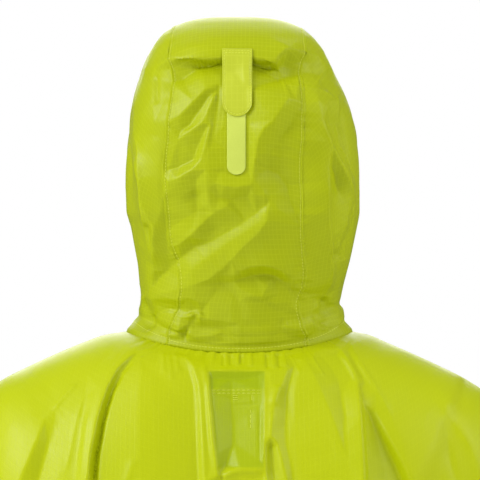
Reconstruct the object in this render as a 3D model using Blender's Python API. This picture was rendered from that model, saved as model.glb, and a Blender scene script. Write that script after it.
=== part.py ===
"""A rain poncho as it is worn: a three-panel hood with a size adjuster on a wide front and back.

Units are metres and +Z is up. The wearer faces -Y, so the wearer's left is +X. The origin is the middle
of the neck, level with the two ends of the shoulder seams, where the poncho rests on its wearer.
Rows of the tables below are in millimetres, and MM turns them into metres.

The hood and the body are each a smooth hollow form. Folds are strokes drawn on a form in one of its
views: a stroke lifts a ridge or presses a trough, and what lies on a panel takes the panel's own points.
"""

from __future__ import annotations

import math
from dataclasses import dataclass
from enum import Enum

import bmesh
import bpy
import numpy as np
from mathutils import Vector
from mathutils.bvhtree import BVHTree

MM = 0.001

# Cloth and seams
HOOD_CLOTH = 1.5 * MM
BODY_CLOTH = 1.8 * MM
SEAM_GAP = 0.3 * MM
LAID_GAP = 0.4 * MM
LAID_REACH = 2.5 * MM

# The neck seam, which the hood and the body share
NECK_HALF_WIDTH = 113 * MM
NECK_BACK = 82 * MM
NECK_FRONT = 88 * MM
NECK_SQUARENESS = 2.2
NECK_SIDE_Z = -1 * MM
NECK_BACK_Z = -21.5 * MM
NECK_FRONT_Z = -50 * MM

# The hood
HOOD_CENTRE_Z = 90 * MM
HOOD_TOP_Z = 313.5 * MM
CROWN_FROM_Z = 190 * MM
CROWN_ROUNDING = {"side": 3.0, "back": 2.2, "front": 3.5}
LEVEL_NECK_ABOVE = 100 * MM
HOOD_BACK_ROWS = 24
HOOD_CROWN_ROWS = 16
HOOD_CENTRE_COLUMNS = 14
CROWN_CORNER = 0.58
BRIM_ANGLE = math.radians(120)
BRIM_DIP = math.radians(3)

# The adjuster on the hood
TAB_HALF_WIDTH = 14.75 * MM
TAB_CENTRE_X = 2.2 * MM
TAB_TOP_Z = 281 * MM
TAB_BOTTOM_Z = 213 * MM
TAB_THICKNESS = 1.4 * MM
TAB_SEWN_DOWN_TO_Z = 276 * MM
TAB_CLOSED_FROM_Z = 255 * MM
TAB_END_RADIUS = 14 * MM
STRIP_HALF_WIDTH = 9.25 * MM
STRIP_CENTRE_X = 3.0 * MM
STRIP_TOP_Z = 250 * MM
STRIP_BOTTOM_Z = 155 * MM
STRIP_THICKNESS = 1.2 * MM
STRIP_END_RADIUS = 9 * MM
STRAP_TIP_TURN = math.radians(11)
STRAP_END_ROWS = 7

# The patch inside the upper back
PATCH_TOP_Z = -38 * MM
PATCH_BOTTOM_Z = -136 * MM
PATCH_LEFT = {"top": 31 * MM, "bottom": 21 * MM}
PATCH_RIGHT = {"top": -26 * MM, "bottom": -23 * MM}
PATCH_THICKNESS = 1.0 * MM
PATCH_GAP = 0.6 * MM
PATCH_COLUMNS = 12

# The body
BODY_COLUMNS = 40
UPPER_RINGS = 6
UPPER_ROWS = 14
LOWER_ROWS = 10
SLIT_FROM_Z = -0.40
SLIT_OPEN_Z = -0.58
SLIT_HALF_GAP = 14 * MM
DRAPE_FULL_Z = -0.98
DRAPE_SINK = 20 * MM

# How folds fade: the share of its length at each end, what is left at the very end, and a flank's curve
FOLD_END = 0.22
FOLD_END_LEFT = 0.15
FOLD_FLANK = 1.6
HOOD_HELD_FOR = 12 * MM
BODY_HELD_FOR = 1.2
BISECTIONS = 44


class View(Enum):
    """A side that a form is drawn from: the two axes of its plane and the sign of the third."""

    BACK = (0, 2, 1, 1)
    FRONT = (0, 2, 1, -1)
    LEFT = (1, 2, 0, 1)
    RIGHT = (1, 2, 0, -1)


@dataclass(frozen=True)
class HoodSection:
    """A level section of the hood, at a height over the neck seam."""

    height: float
    half_width: float
    lean: float
    back: float
    front: float
    squareness: float


@dataclass(frozen=True)
class BodyRing:
    """A ring round the body, from the neck seam down to the hem."""

    side_x: float
    side_z: float
    lean: float
    back_y: float
    back_z: float
    front_y: float
    front_z: float
    squareness: float


@dataclass(frozen=True)
class SeamRow:
    """Where the hood's two long seams lie, at a share of the way from the neck to the brim."""

    share: float
    left: float
    right: float


@dataclass(frozen=True)
class Fold:
    """A crease drawn on a form: its height, the reach of its two flanks, and the points of its line."""

    view: View
    height: float
    left: float
    right: float
    line: tuple[tuple[float, float], ...]


@dataclass(frozen=True)
class Drape:
    """A hanging fold: its place round the body from -1 to 1, 0 being the middle of the back."""

    place: float
    height: float
    width: float
    from_z: float


HOOD_SECTIONS = (
    HoodSection(0, 113.0, 0.0, 82, 88, 2.20),
    HoodSection(5, 110.0, 0.0, 81, 88, 2.20),
    HoodSection(10, 105.5, 0.5, 80, 89, 2.22),
    HoodSection(16, 102.5, -2.0, 80, 91, 2.26),
    HoodSection(22, 102.0, -1.5, 81, 93, 2.30),
    HoodSection(28, 99.5, 0.0, 81, 95, 2.35),
    HoodSection(34, 100.0, -1.0, 82, 97, 2.40),
    HoodSection(58, 104.0, -3.0, 89, 107, 2.50),
    HoodSection(82, 109.0, -4.0, 97, 116, 2.60),
    HoodSection(106, 113.5, -4.5, 104, 122, 2.70),
    HoodSection(120, 116.5, -3.5, 108, 125, 2.75),
    HoodSection(154, 117.0, -3.0, 113, 129, 2.80),
    HoodSection(190, 114.5, -3.0, 113, 132, 2.80),
    HoodSection(214, 112.0, -2.0, 112, 134, 2.80),
    HoodSection(232, 108.0, -0.5, 111, 136, 2.75),
    HoodSection(256, 102.0, 2.0, 109, 138, 2.70),
    HoodSection(280, 100.5, 3.0, 107, 140, 2.65),
    HoodSection(314, 103.0, 3.5, 106, 140, 2.60),
)

BODY_RINGS = (
    BodyRing(113, -1, 0.0, 82, -21.5, 88, -50, 2.20),
    BodyRing(131, -4, 2.5, 98, -38, 102, -70, 2.25),
    BodyRing(152, -12, 4.5, 112, -58, 116, -93, 2.32),
    BodyRing(178, -23, 5.0, 124, -84, 131, -122, 2.42),
    BodyRing(204, -35, 5.0, 136, -114, 146, -155, 2.50),
    BodyRing(231, -48.5, 5.0, 146, -148, 160, -190, 2.58),
    BodyRing(256, -66, 5.0, 154, -185, 172, -228, 2.62),
    BodyRing(276, -92, 5.0, 160, -228, 181, -272, 2.62),
    BodyRing(289, -130, 5.0, 165, -278, 188, -320, 2.58),
    BodyRing(298, -185, 4.5, 169, -335, 194, -374, 2.50),
    BodyRing(307, -260, 4.0, 174, -400, 201, -436, 2.45),
    BodyRing(321, -360, 3.5, 181, -480, 211, -510, 2.40),
    BodyRing(341, -480, 3.0, 192, -580, 225, -604, 2.35),
    BodyRing(367, -620, 2.0, 207, -700, 243, -716, 2.30),
    BodyRing(398, -780, 1.0, 226, -840, 265, -848, 2.25),
    BodyRing(430, -930, 0.0, 247, -970, 287, -974, 2.20),
    BodyRing(444, -1000, 0.0, 256, -1030, 297, -1032, 2.20),
)

SEAM_ROWS = (
    SeamRow(0.00, 72, -68),
    SeamRow(0.04, 66, -60),
    SeamRow(0.09, 61, -58),
    SeamRow(0.15, 58, -63),
    SeamRow(0.21, 61, -64),
    SeamRow(0.28, 67, -63),
    SeamRow(0.36, 71, -62),
    SeamRow(0.46, 74, -63),
    SeamRow(0.54, 76, -62),
    SeamRow(0.60, 72, -63),
    SeamRow(0.75, 68, -64),
    SeamRow(1.00, 60, -60),
)

FACE_EDGE = (
    (0.15, -20),
    (0.15, 4),
    (9, 5),
    (24, 9),
    (40, 19),
    (54, 36),
    (66, 62),
    (75, 98),
    (80, 140),
    (82, 185),
    (80, 225),
    (75, 258),
)

HOOD_FOLDS = (
    # The tuck that the adjuster pulls in under the crown, and the roll above it
    Fold(View.BACK, -8.0, 7, 12, ((70, 258), (44, 267), (14, 264), (-14, 264), (-40, 267), (-74, 258))),
    Fold(View.BACK, 3.5, 18, 9, ((60, 279), (20, 279), (-16, 279), (-56, 279))),
    # The back of the hood
    Fold(View.BACK, 4.0, 14, 14, ((-34, 120), (0, 96), (28, 76), (60, 50))),
    Fold(View.BACK, -3.5, 13, 13, ((48, 140), (32, 114), (22, 92))),
    Fold(View.BACK, 3.0, 16, 8, ((10, 60), (-6, 64), (-24, 66), (-45, 57), (-60, 46))),
    # The sides of the hood
    Fold(View.BACK, 4.5, 9, 16, ((-88, 166), (-84, 140), (-84, 110), (-87, 80), (-87, 46), (-84, 30))),
    Fold(View.BACK, -4.0, 11, 11, ((-86, 222), (-95, 175), (-103, 126))),
    Fold(View.BACK, 3.0, 10, 10, ((-90, 74), (-104, 104), (-112, 132))),
    Fold(View.BACK, 4.5, 10, 12, ((104, 178), (94, 142), (92, 118), (82, 98), (84, 66))),
    Fold(View.LEFT, -4.0, 14, 14, ((30, 230), (-10, 175), (-30, 110), (-34, 60))),
    Fold(View.LEFT, 4.0, 12, 14, ((-40, 210), (-62, 150), (-66, 90), (-50, 40))),
    Fold(View.RIGHT, -4.0, 14, 14, ((24, 236), (-14, 190), (-26, 130), (-36, 70))),
    Fold(View.RIGHT, 4.0, 13, 12, ((-44, 222), (-60, 165), (-70, 100), (-52, 46))),
    # The creases where the hood is pushed down on the neck
    Fold(View.BACK, -5.0, 9, 9, ((-86, 34), (-82, 18), (-78, 4))),
    Fold(View.BACK, 4.0, 9, 9, ((-74, 6), (-90, 14), (-104, 10))),
    Fold(View.BACK, -4.0, 9, 9, ((96, 30), (92, 16), (86, 4))),
    Fold(View.BACK, 3.0, 9, 9, ((46, 20), (50, 8), (56, -4))),
    Fold(View.FRONT, -4.0, 10, 10, ((84, 52), (60, 22), (30, -14))),
    Fold(View.FRONT, -4.0, 10, 10, ((-88, 60), (-66, 20), (-36, -12))),
)

BODY_FOLDS = (
    # The upper back
    Fold(
        View.BACK,
        10.0,
        12,
        30,
        ((102, -16), (118, -30), (127, -48), (134, -66), (140, -86), (145, -112), (150, -155), (160, -260)),
    ),
    Fold(View.BACK, 7.0, 12, 24, ((186, -76), (195, -98), (204, -122), (214, -152), (228, -230))),
    Fold(View.BACK, 4.5, 8, 13, ((60, -24), (51, -37), (46, -52), (43, -80), (39, -110), (34, -150), (24, -230))),
    Fold(View.BACK, 7.0, 9, 20, ((-118, -52), (-119, -80), (-121, -115), (-122, -150), (-126, -250))),
    Fold(View.BACK, -6.0, 11, 11, ((-122, -60), (-132, -88), (-141, -120), (-148, -160), (-156, -240))),
    Fold(View.BACK, 4.5, 10, 14, ((-78, -19), (-94, -36), (-104, -60), (-108, -92), (-110, -122), (-108, -190))),
    Fold(View.BACK, 4.5, 10, 14, ((-108, -20), (-124, -43), (-140, -66), (-155, -95), (-170, -140), (-186, -230))),
    Fold(View.BACK, 6.0, 22, 11, ((-196, -56), (-206, -72), (-221, -95), (-234, -122), (-248, -180))),
    # The upper front
    Fold(View.FRONT, 7.0, 13, 20, ((64, -48), (92, -98), (104, -160), (112, -270))),
    Fold(View.FRONT, 6.0, 20, 13, ((-60, -50), (-84, -104), (-98, -175), (-104, -290))),
    Fold(View.FRONT, 4.0, 12, 12, ((18, -64), (30, -120), (34, -220))),
    Fold(View.FRONT, 4.0, 12, 12, ((-24, -64), (-40, -130), (-46, -210))),
    Fold(View.FRONT, 6.0, 14, 20, ((136, -22), (168, -76), (186, -140), (200, -240))),
    Fold(View.FRONT, 6.0, 20, 14, ((-130, -20), (-160, -72), (-180, -150), (-192, -230))),
    # The shoulders, over the arms
    Fold(View.LEFT, 6.0, 14, 18, ((40, -120), (52, -200), (60, -320))),
    Fold(View.LEFT, 6.0, 16, 14, ((-44, -130), (-58, -210), (-64, -300))),
    Fold(View.RIGHT, 6.0, 14, 18, ((48, -128), (56, -220), (66, -310))),
    Fold(View.RIGHT, 6.0, 16, 14, ((-38, -124), (-50, -190), (-62, -330))),
)

DRAPES = (
    Drape(0.06, 38, 0.040, -0.24),
    Drape(0.18, 44, 0.044, -0.14),
    Drape(0.30, 36, 0.038, -0.20),
    Drape(0.42, 44, 0.042, -0.22),
    Drape(0.56, 40, 0.040, -0.26),
    Drape(0.68, 46, 0.044, -0.18),
    Drape(0.80, 34, 0.038, -0.22),
    Drape(0.92, 42, 0.042, -0.26),
    Drape(-0.07, 44, 0.042, -0.20),
    Drape(-0.19, 36, 0.038, -0.26),
    Drape(-0.31, 46, 0.044, -0.15),
    Drape(-0.44, 38, 0.040, -0.24),
    Drape(-0.57, 44, 0.042, -0.20),
    Drape(-0.70, 36, 0.038, -0.22),
    Drape(-0.82, 44, 0.042, -0.18),
    Drape(-0.94, 34, 0.038, -0.28),
)


def curve_through(stops: np.ndarray, rows: np.ndarray, at: np.ndarray) -> np.ndarray:
    """Reads a smooth curve through a table's rows, which never swings past them.

    Args:
        stops: The rising positions of the rows.
        rows: One row of values for each stop.
        at: The positions to read.

    Returns:
        One row of values for each position.
    """
    gaps = np.diff(stops)
    slopes = np.diff(rows, axis=0) / gaps[:, None]
    product = slopes[:-1] * slopes[1:]
    total = np.where(product > 0, slopes[:-1] + slopes[1:], 1.0)
    inner = np.where(product > 0, 2.0 * product / total, 0.0)
    tangents = np.vstack([slopes[:1], inner, slopes[-1:]])
    cell = np.clip(np.searchsorted(stops, at) - 1, 0, len(gaps) - 1)
    gap = gaps[cell][:, None]
    t = np.clip((at - stops[cell])[:, None] / gap, 0.0, 1.0)
    start, end = rows[cell], rows[cell + 1]
    near = (1 + 2 * t) * (1 - t) ** 2 * start + t * (1 - t) ** 2 * gap * tangents[cell]
    return near + t**2 * (3 - 2 * t) * end - t**2 * (1 - t) * gap * tangents[cell + 1]


def smooth_step(value: np.ndarray) -> np.ndarray:
    """Turns a ramp from 0 to 1 into a smooth one."""
    t = np.clip(value, 0.0, 1.0)
    return t * t * (3 - 2 * t)


def crown(height: np.ndarray, rounding: float) -> np.ndarray:
    """How much of its section the hood keeps at a height, down to none at the top of the crown."""
    t = np.clip((height - CROWN_FROM_Z) / (HOOD_TOP_Z - CROWN_FROM_Z), 0.0, 1.0)
    return np.maximum(1.0 - t**rounding, 0.0) ** (1.0 / rounding)


def neck_ring(angle: np.ndarray) -> np.ndarray:
    """Points of the neck seam: angle 0 is the wearer's left, 90 degrees the middle of the back."""
    across, along = np.cos(angle), np.sin(angle)
    power = 2.0 / NECK_SQUARENESS
    depth = np.where(along > 0, NECK_BACK, NECK_FRONT)
    fall = np.where(along > 0, NECK_BACK_Z, NECK_FRONT_Z)
    x = NECK_HALF_WIDTH * np.sign(across) * np.abs(across) ** power
    y = depth * np.sign(along) * np.abs(along) ** power
    z = NECK_SIDE_Z * across**2 + fall * along**2
    return np.stack([x, y, z], axis=-1)


def neck_drop(x: np.ndarray, y: np.ndarray) -> np.ndarray:
    """The height of the neck seam in the direction of a point."""
    depth = np.where(y > 0, NECK_BACK, NECK_FRONT)
    fall = np.where(y > 0, NECK_BACK_Z, NECK_FRONT_Z)
    side = np.abs(x / NECK_HALF_WIDTH) ** NECK_SQUARENESS
    end = np.abs(y / depth) ** NECK_SQUARENESS
    share = end / np.maximum(side + end, 1e-12)
    return NECK_SIDE_Z * (1 - share) + fall * share


HOOD_STOPS = np.array([row.height for row in HOOD_SECTIONS]) * MM
HOOD_ROWS = np.array(
    [
        (row.half_width * MM, row.lean * MM, row.back * MM, row.front * MM, row.squareness)
        for row in HOOD_SECTIONS
    ]
)
HOOD_CENTRE = np.array([0.0, 0.0, HOOD_CENTRE_Z])


def hood_depth(points: np.ndarray) -> np.ndarray:
    """How far points are outside the hood's form: under 0 inside it, 0 on it and over 0 outside."""
    x, y, z = points[:, 0], points[:, 1], points[:, 2]
    level = 1.0 - smooth_step(z / LEVEL_NECK_ABOVE)
    height = z - neck_drop(x, y) * level
    half_width, lean, back, front, squareness = curve_through(HOOD_STOPS, HOOD_ROWS, height).T
    ahead = y < 0
    side = half_width * crown(height, CROWN_ROUNDING["side"])
    reach = np.where(
        ahead, front * crown(height, CROWN_ROUNDING["front"]), back * crown(height, CROWN_ROUNDING["back"])
    )
    across = np.abs(x - lean) / np.maximum(side, 1e-9)
    along = np.abs(y) / np.maximum(reach, 1e-9)
    inside = np.minimum(across, 50.0) ** squareness + np.minimum(along, 50.0) ** squareness
    return np.where(height >= HOOD_TOP_Z, 1e3, inside - 1.0)


def meet(start: np.ndarray, direction: np.ndarray, reach: float = 0.6) -> np.ndarray:
    """Follows rays out of the hood's inside to its form.

    Args:
        start: Points inside the form.
        direction: One unit vector for each point.
        reach: A length that is past the form.

    Returns:
        The points where the rays leave the form.
    """
    near = np.zeros(len(start))
    far = np.full(len(start), reach)
    for _ in range(BISECTIONS):
        middle = (near + far) / 2
        outside = hood_depth(start + direction * middle[:, None]) > 0
        far = np.where(outside, middle, far)
        near = np.where(outside, near, middle)
    return start + direction * near[:, None]


def onto_hood(points: np.ndarray) -> np.ndarray:
    """Moves rough points straight away from the hood's centre onto its form."""
    rays = points - HOOD_CENTRE
    rays = rays / np.linalg.norm(rays, axis=1)[:, None]
    return meet(np.broadcast_to(HOOD_CENTRE, points.shape), rays)


def hood_across(x: np.ndarray, angle: np.ndarray) -> np.ndarray:
    """Points of the hood at a distance from its middle plane and an angle in it, 0 being straight back."""
    start = np.stack([x, np.zeros_like(x), np.full_like(x, HOOD_CENTRE_Z)], axis=1)
    rays = np.stack([np.zeros_like(x), np.cos(angle), np.sin(angle)], axis=1)
    return meet(start, rays)


def hood_from(view: View, plane: np.ndarray) -> np.ndarray:
    """Points of the hood's form that show in a view at the given places of its plane."""
    first, second, depth, sign = view.value
    start = np.zeros((len(plane), 3))
    start[:, first] = plane[:, 0]
    start[:, second] = plane[:, 1]
    rays = np.zeros_like(start)
    rays[:, depth] = sign
    return meet(start, rays)


def hood_normals(points: np.ndarray) -> np.ndarray:
    """Unit vectors that point out of the hood's form."""
    step = 0.4 * MM
    slopes = np.zeros_like(points)
    for axis in range(3):
        shift = np.zeros(3)
        shift[axis] = step
        slopes[:, axis] = hood_depth(points + shift) - hood_depth(points - shift)
    return slopes / np.maximum(np.linalg.norm(slopes, axis=1), 1e-12)[:, None]


BODY_ROWS = np.array(
    [
        (
            ring.side_x * MM,
            ring.side_z * MM,
            ring.lean * MM,
            ring.back_y * MM,
            ring.back_z * MM,
            ring.front_y * MM,
            ring.front_z * MM,
            ring.squareness,
        )
        for ring in BODY_RINGS
    ]
)
BODY_STOPS = np.arange(len(BODY_RINGS), dtype=float)
LAST_RING = float(len(BODY_RINGS) - 1)


def body_point(angle: np.ndarray, ring: np.ndarray) -> np.ndarray:
    """Points of the body's smooth form.

    Args:
        angle: The turn round the body: 0 is the wearer's left, 90 degrees the middle of the back.
        ring: The place in the table of rings, with parts of a ring between two rows.

    Returns:
        One point for each pair.
    """
    side_x, side_z, lean, back_y, back_z, front_y, front_z, squareness = curve_through(
        BODY_STOPS, BODY_ROWS, ring
    ).T
    across, along = np.cos(angle), np.sin(angle)
    behind = along > 0
    power = 2.0 / squareness
    x = side_x * np.sign(across) * np.abs(across) ** power + lean
    y = np.where(behind, back_y, front_y) * np.sign(along) * np.abs(along) ** power
    z = side_z * across**2 + np.where(behind, back_z, front_z) * along**2
    return np.stack([x, y, z], axis=1)


def body_normals(angle: np.ndarray, ring: np.ndarray) -> np.ndarray:
    """Unit vectors that point out of the body's smooth form."""
    turn, run = 0.02, 0.05
    round_way = body_point(angle + turn, ring) - body_point(angle - turn, ring)
    low = np.minimum(ring + run, LAST_RING)
    high = np.maximum(ring - run, 0.0)
    down_way = body_point(angle, low) - body_point(angle, high)
    normals = np.cross(down_way, round_way)
    return normals / np.maximum(np.linalg.norm(normals, axis=1), 1e-12)[:, None]


def body_from(view: View, plane: np.ndarray) -> tuple[np.ndarray, np.ndarray]:
    """The angle and ring of the body's points that show in a view at the given places of its plane."""
    first, _, _, sign = view.value
    near = np.zeros(len(plane))
    far = np.full(len(plane), LAST_RING)
    angle = np.zeros(len(plane))
    for _ in range(BISECTIONS):
        middle = (near + far) / 2
        side_x, _, lean, back_y, _, front_y, _, squareness = curve_through(BODY_STOPS, BODY_ROWS, middle).T
        if first == 0:
            share = (plane[:, 0] - lean) / side_x
            across = np.sign(share) * np.minimum(np.abs(share), 1.0) ** (squareness / 2)
            angle = sign * np.arccos(across)
        else:
            share = plane[:, 0] / np.where(plane[:, 0] > 0, back_y, front_y)
            along = np.sign(share) * np.minimum(np.abs(share), 1.0) ** (squareness / 2)
            angle = np.arcsin(along) if sign > 0 else math.pi - np.arcsin(along)
        below = body_point(angle, middle)[:, 2] < plane[:, 1]
        far = np.where(below, middle, far)
        near = np.where(below, near, middle)
    return angle, near


def fold_heights(points: np.ndarray, normals: np.ndarray, fold: Fold, line: np.ndarray) -> np.ndarray:
    """How far a fold lifts each point.

    Args:
        points: Points of the smooth form.
        normals: The form's unit normals at them.
        fold: The fold's height and the reach of its flanks.
        line: The fold's line on the form.

    Returns:
        One height for each point.
    """
    best = np.full(len(points), np.inf)
    hand = np.zeros(len(points))
    along = np.zeros(len(points))
    lengths = np.linalg.norm(np.diff(line, axis=0), axis=1)
    marks = np.concatenate([[0.0], np.cumsum(lengths)])
    for start, end, length, mark in zip(line[:-1], line[1:], lengths, marks[:-1]):
        way = (end - start) / length
        part = np.clip((points - start) @ way, 0.0, length)
        gap = points - start - part[:, None] * way
        distance = np.linalg.norm(gap, axis=1)
        nearer = distance < best
        best = np.where(nearer, distance, best)
        hand = np.where(nearer, np.einsum("ij,ij->i", np.cross(way, gap), normals), hand)
        along = np.where(nearer, mark + part, along)
    reach = np.where(hand > 0, fold.left, fold.right) * MM
    to_end = np.minimum(along, marks[-1] - along) / marks[-1]
    end_fade = smooth_step(to_end / FOLD_END + FOLD_END_LEFT)
    return fold.height * MM * end_fade * np.exp(-((best / reach) ** FOLD_FLANK))


def finer(line: np.ndarray, pieces: int = 4) -> np.ndarray:
    """Rounds a drawn line by reading a smooth curve through its points."""
    stops = np.arange(len(line), dtype=float)
    return curve_through(stops, line, np.linspace(0, len(line) - 1, pieces * (len(line) - 1) + 1))


HOOD_LINES = [hood_from(fold.view, finer(np.array(fold.line) * MM)) for fold in HOOD_FOLDS]
BODY_LINES = [body_point(*body_from(fold.view, finer(np.array(fold.line) * MM))) for fold in BODY_FOLDS]


def hood_lift(base: np.ndarray, normals: np.ndarray) -> np.ndarray:
    """How far the hood's folds lift the points of its smooth form."""
    lift = np.zeros(len(base))
    for fold, line in zip(HOOD_FOLDS, HOOD_LINES):
        lift += fold_heights(base, normals, fold, line)
    held = smooth_step((base[:, 2] - neck_drop(base[:, 0], base[:, 1])) / HOOD_HELD_FOR)
    return lift * held


def folded_hood(base: np.ndarray) -> tuple[np.ndarray, np.ndarray]:
    """The hood's outer points with their folds, and the way out of the cloth at each."""
    normals = hood_normals(base)
    return base + normals * hood_lift(base, normals)[:, None], normals


def drape_heights(place: np.ndarray, z: np.ndarray) -> np.ndarray:
    """How far the hanging folds lift the body's points, at their places round it and their heights."""
    first = max(drape.from_z for drape in DRAPES)
    lift = -DRAPE_SINK * smooth_step((first - z) / (first - DRAPE_FULL_Z))
    for drape in DRAPES:
        away = np.abs((place - drape.place + 1.0) % 2.0 - 1.0)
        grown = smooth_step((drape.from_z - z) / (drape.from_z - DRAPE_FULL_Z))
        lift += drape.height * MM * grown * np.exp(-((away / drape.width) ** 2))
    return lift


def folded_body(angle: np.ndarray, ring: np.ndarray) -> tuple[np.ndarray, np.ndarray]:
    """The body's outer points with their folds, and the way out of the cloth at each."""
    base = body_point(angle, ring)
    normals = body_normals(angle, ring)
    lift = np.zeros(len(base))
    for fold, line in zip(BODY_FOLDS, BODY_LINES):
        lift += fold_heights(base, normals, fold, line)
    turn = (angle - math.pi / 2 + math.pi) % (2 * math.pi) - math.pi
    place = -turn / math.pi
    held = smooth_step(ring / BODY_HELD_FOR)
    return base + normals * ((lift + drape_heights(place, base[:, 2])) * held)[:, None], normals


def closed_wall(outer: np.ndarray, inner: np.ndarray) -> bmesh.types.BMesh:
    """Lofts a closed wall between two grids of points, the outer one seen from outside.

    Args:
        outer: Rows of points, seen from outside with rows going up and columns going right.
        inner: The same rows on the wall's other face.

    Returns:
        The wall as a closed mesh.
    """
    mesh = bmesh.new()
    faces = [[[mesh.verts.new(point) for point in row] for row in grid] for grid in (outer, inner)]
    front, rear = faces
    rows, columns = len(front), len(front[0])
    for i in range(rows - 1):
        for j in range(columns - 1):
            mesh.faces.new((front[i][j], front[i][j + 1], front[i + 1][j + 1], front[i + 1][j]))
            mesh.faces.new((rear[i][j], rear[i + 1][j], rear[i + 1][j + 1], rear[i][j + 1]))
    for j in range(columns - 1):
        mesh.faces.new((front[0][j], rear[0][j], rear[0][j + 1], front[0][j + 1]))
        mesh.faces.new((front[-1][j], front[-1][j + 1], rear[-1][j + 1], rear[-1][j]))
    for i in range(rows - 1):
        mesh.faces.new((front[i][0], front[i + 1][0], rear[i + 1][0], rear[i][0]))
        mesh.faces.new((front[i][-1], rear[i][-1], rear[i + 1][-1], front[i + 1][-1]))
    bmesh.ops.recalc_face_normals(mesh, faces=mesh.faces)
    return mesh


def cloth_material(name: str, colour: tuple[float, float, float], roughness: float) -> bpy.types.Material:
    """A plain cloth finish in one colour."""
    material = bpy.data.materials.new(name)
    material.use_nodes = True
    shader = material.node_tree.nodes["Principled BSDF"]
    shader.inputs["Base Color"].default_value = (*colour, 1.0)
    shader.inputs["Roughness"].default_value = roughness
    material.diffuse_color = (*colour, 1.0)
    return material


def add_piece(
    name: str, mesh: bmesh.types.BMesh, material: bpy.types.Material, collection: bpy.types.Collection
) -> bpy.types.Object:
    """Makes one named object of a mesh, shaded smooth."""
    data = bpy.data.meshes.new(name)
    mesh.to_mesh(data)
    mesh.free()
    data.shade_smooth()
    data.materials.append(material)
    piece = bpy.data.objects.new(name, data)
    collection.objects.link(piece)
    return piece


def grid_wall(
    shape: tuple[int, int], outer: np.ndarray, normals: np.ndarray, lift: np.ndarray | float, thickness: float
) -> bmesh.types.BMesh:
    """A closed wall of a given thickness over a grid of points.

    Args:
        shape: The grid's rows and columns.
        outer: The points of the surface that the wall lies on or under.
        normals: The way out of it at each point.
        lift: How far the wall's outer face stands over the points.
        thickness: The wall's thickness.

    Returns:
        The wall as a closed mesh.
    """
    top = outer + normals * np.broadcast_to(lift, len(outer))[:, None]
    under = top - normals * thickness
    return closed_wall(top.reshape(*shape, 3), under.reshape(*shape, 3))


def panel_tree(grid: np.ndarray) -> BVHTree:
    """A panel's face as a tree that rays can be cast on.

    Args:
        grid: Rows of points.

    Returns:
        The tree of the grid's faces.
    """
    rows, columns = grid.shape[:2]
    faces = [
        (i * columns + j, i * columns + j + 1, (i + 1) * columns + j + 1, (i + 1) * columns + j)
        for i in range(rows - 1)
        for j in range(columns - 1)
    ]
    return BVHTree.FromPolygons([tuple(point) for point in grid.reshape(-1, 3)], faces)


def height_on(panel: BVHTree, base: np.ndarray, way: np.ndarray) -> np.ndarray:
    """How far a panel's face stands from points of the smooth form, along a way for each."""
    reach = 40 * MM
    heights = []
    for point, direction in zip(base, way):
        hit = panel.ray_cast(Vector(point + direction * reach), Vector(-direction), 2 * reach)
        heights.append(reach - hit[3])
    return np.array(heights)


def clear_height(panel: BVHTree, plane: np.ndarray) -> np.ndarray:
    """How high a laid piece has to stand over the hood's form to clear the panel round each of its points.

    Args:
        panel: The panel's face.
        plane: The points' places in the back view.

    Returns:
        One height for each point.
    """
    highest = np.full(len(plane), -np.inf)
    for shift in ((0, 0), (1, 0), (-1, 0), (0, 1), (0, -1)):
        place = hood_from(View.BACK, plane + np.array(shift) * LAID_REACH)
        highest = np.maximum(highest, height_on(panel, place, hood_normals(place)))
    return highest


def seam_shares() -> np.ndarray:
    """The shares of the hood's long seams at which its panels have points."""
    lower = np.linspace(0.0, CROWN_CORNER, HOOD_BACK_ROWS + 1)
    upper = np.linspace(CROWN_CORNER, 1.0, HOOD_CROWN_ROWS + 1)
    return np.concatenate([lower, upper[1:]])


def centre_panel_base(shares: np.ndarray, across: np.ndarray) -> np.ndarray:
    """The hood's centre panel on its smooth form, from the neck seam to the brim.

    Args:
        shares: The way along the panel, 0 at the neck seam and 1 at the brim.
        across: The way across it, 0 at the right seam and 1 at the left one.

    Returns:
        The points, row by row.
    """
    stops = np.array([row.share for row in SEAM_ROWS])
    seams = np.array([(row.left * MM, row.right * MM) for row in SEAM_ROWS])
    left, right = curve_through(stops, seams, shares).T
    x = right[:, None] + (left - right)[:, None] * across[None, :]
    foot_x = x[0]
    cosine = (np.abs(foot_x) / NECK_HALF_WIDTH) ** (NECK_SQUARENESS / 2) * np.sign(foot_x)
    foot = neck_ring(np.arccos(cosine))
    foot_angle = np.arctan2(foot[:, 2] - HOOD_CENTRE_Z, foot[:, 1])
    brim_angle = BRIM_ANGLE - BRIM_DIP * (2 * across - 1) ** 2
    angle = foot_angle[None, :] + (brim_angle - foot_angle)[None, :] * shares[:, None]
    return hood_across(x.ravel(), angle.ravel())


def patch_between(bottom: np.ndarray, top: np.ndarray, start: np.ndarray, end: np.ndarray) -> np.ndarray:
    """Fills a four-sided patch between its edges.

    Args:
        bottom: The lower edge, from the start side to the end side.
        top: The upper edge, in the same direction.
        start: The edge that joins their first points, going up.
        end: The edge that joins their last points, going up.

    Returns:
        Rows of points from the bottom to the top.
    """
    u = np.linspace(0, 1, len(bottom))[None, :, None]
    v = np.linspace(0, 1, len(start))[:, None, None]
    ruled = (1 - v) * bottom[None] + v * top[None] + (1 - u) * start[:, None] + u * end[:, None]
    corners = (1 - u) * (1 - v) * bottom[0] + u * (1 - v) * bottom[-1] + (1 - u) * v * top[0] + u * v * top[-1]
    return ruled - corners


def even_steps(line: np.ndarray, count: int) -> np.ndarray:
    """Reads a line at evenly spaced points along its length."""
    marks = np.concatenate([[0.0], np.cumsum(np.linalg.norm(np.diff(line, axis=0), axis=1))])
    at = np.linspace(0, marks[-1], count)
    return np.stack([np.interp(at, marks, line[:, axis]) for axis in range(3)], axis=1)


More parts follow.
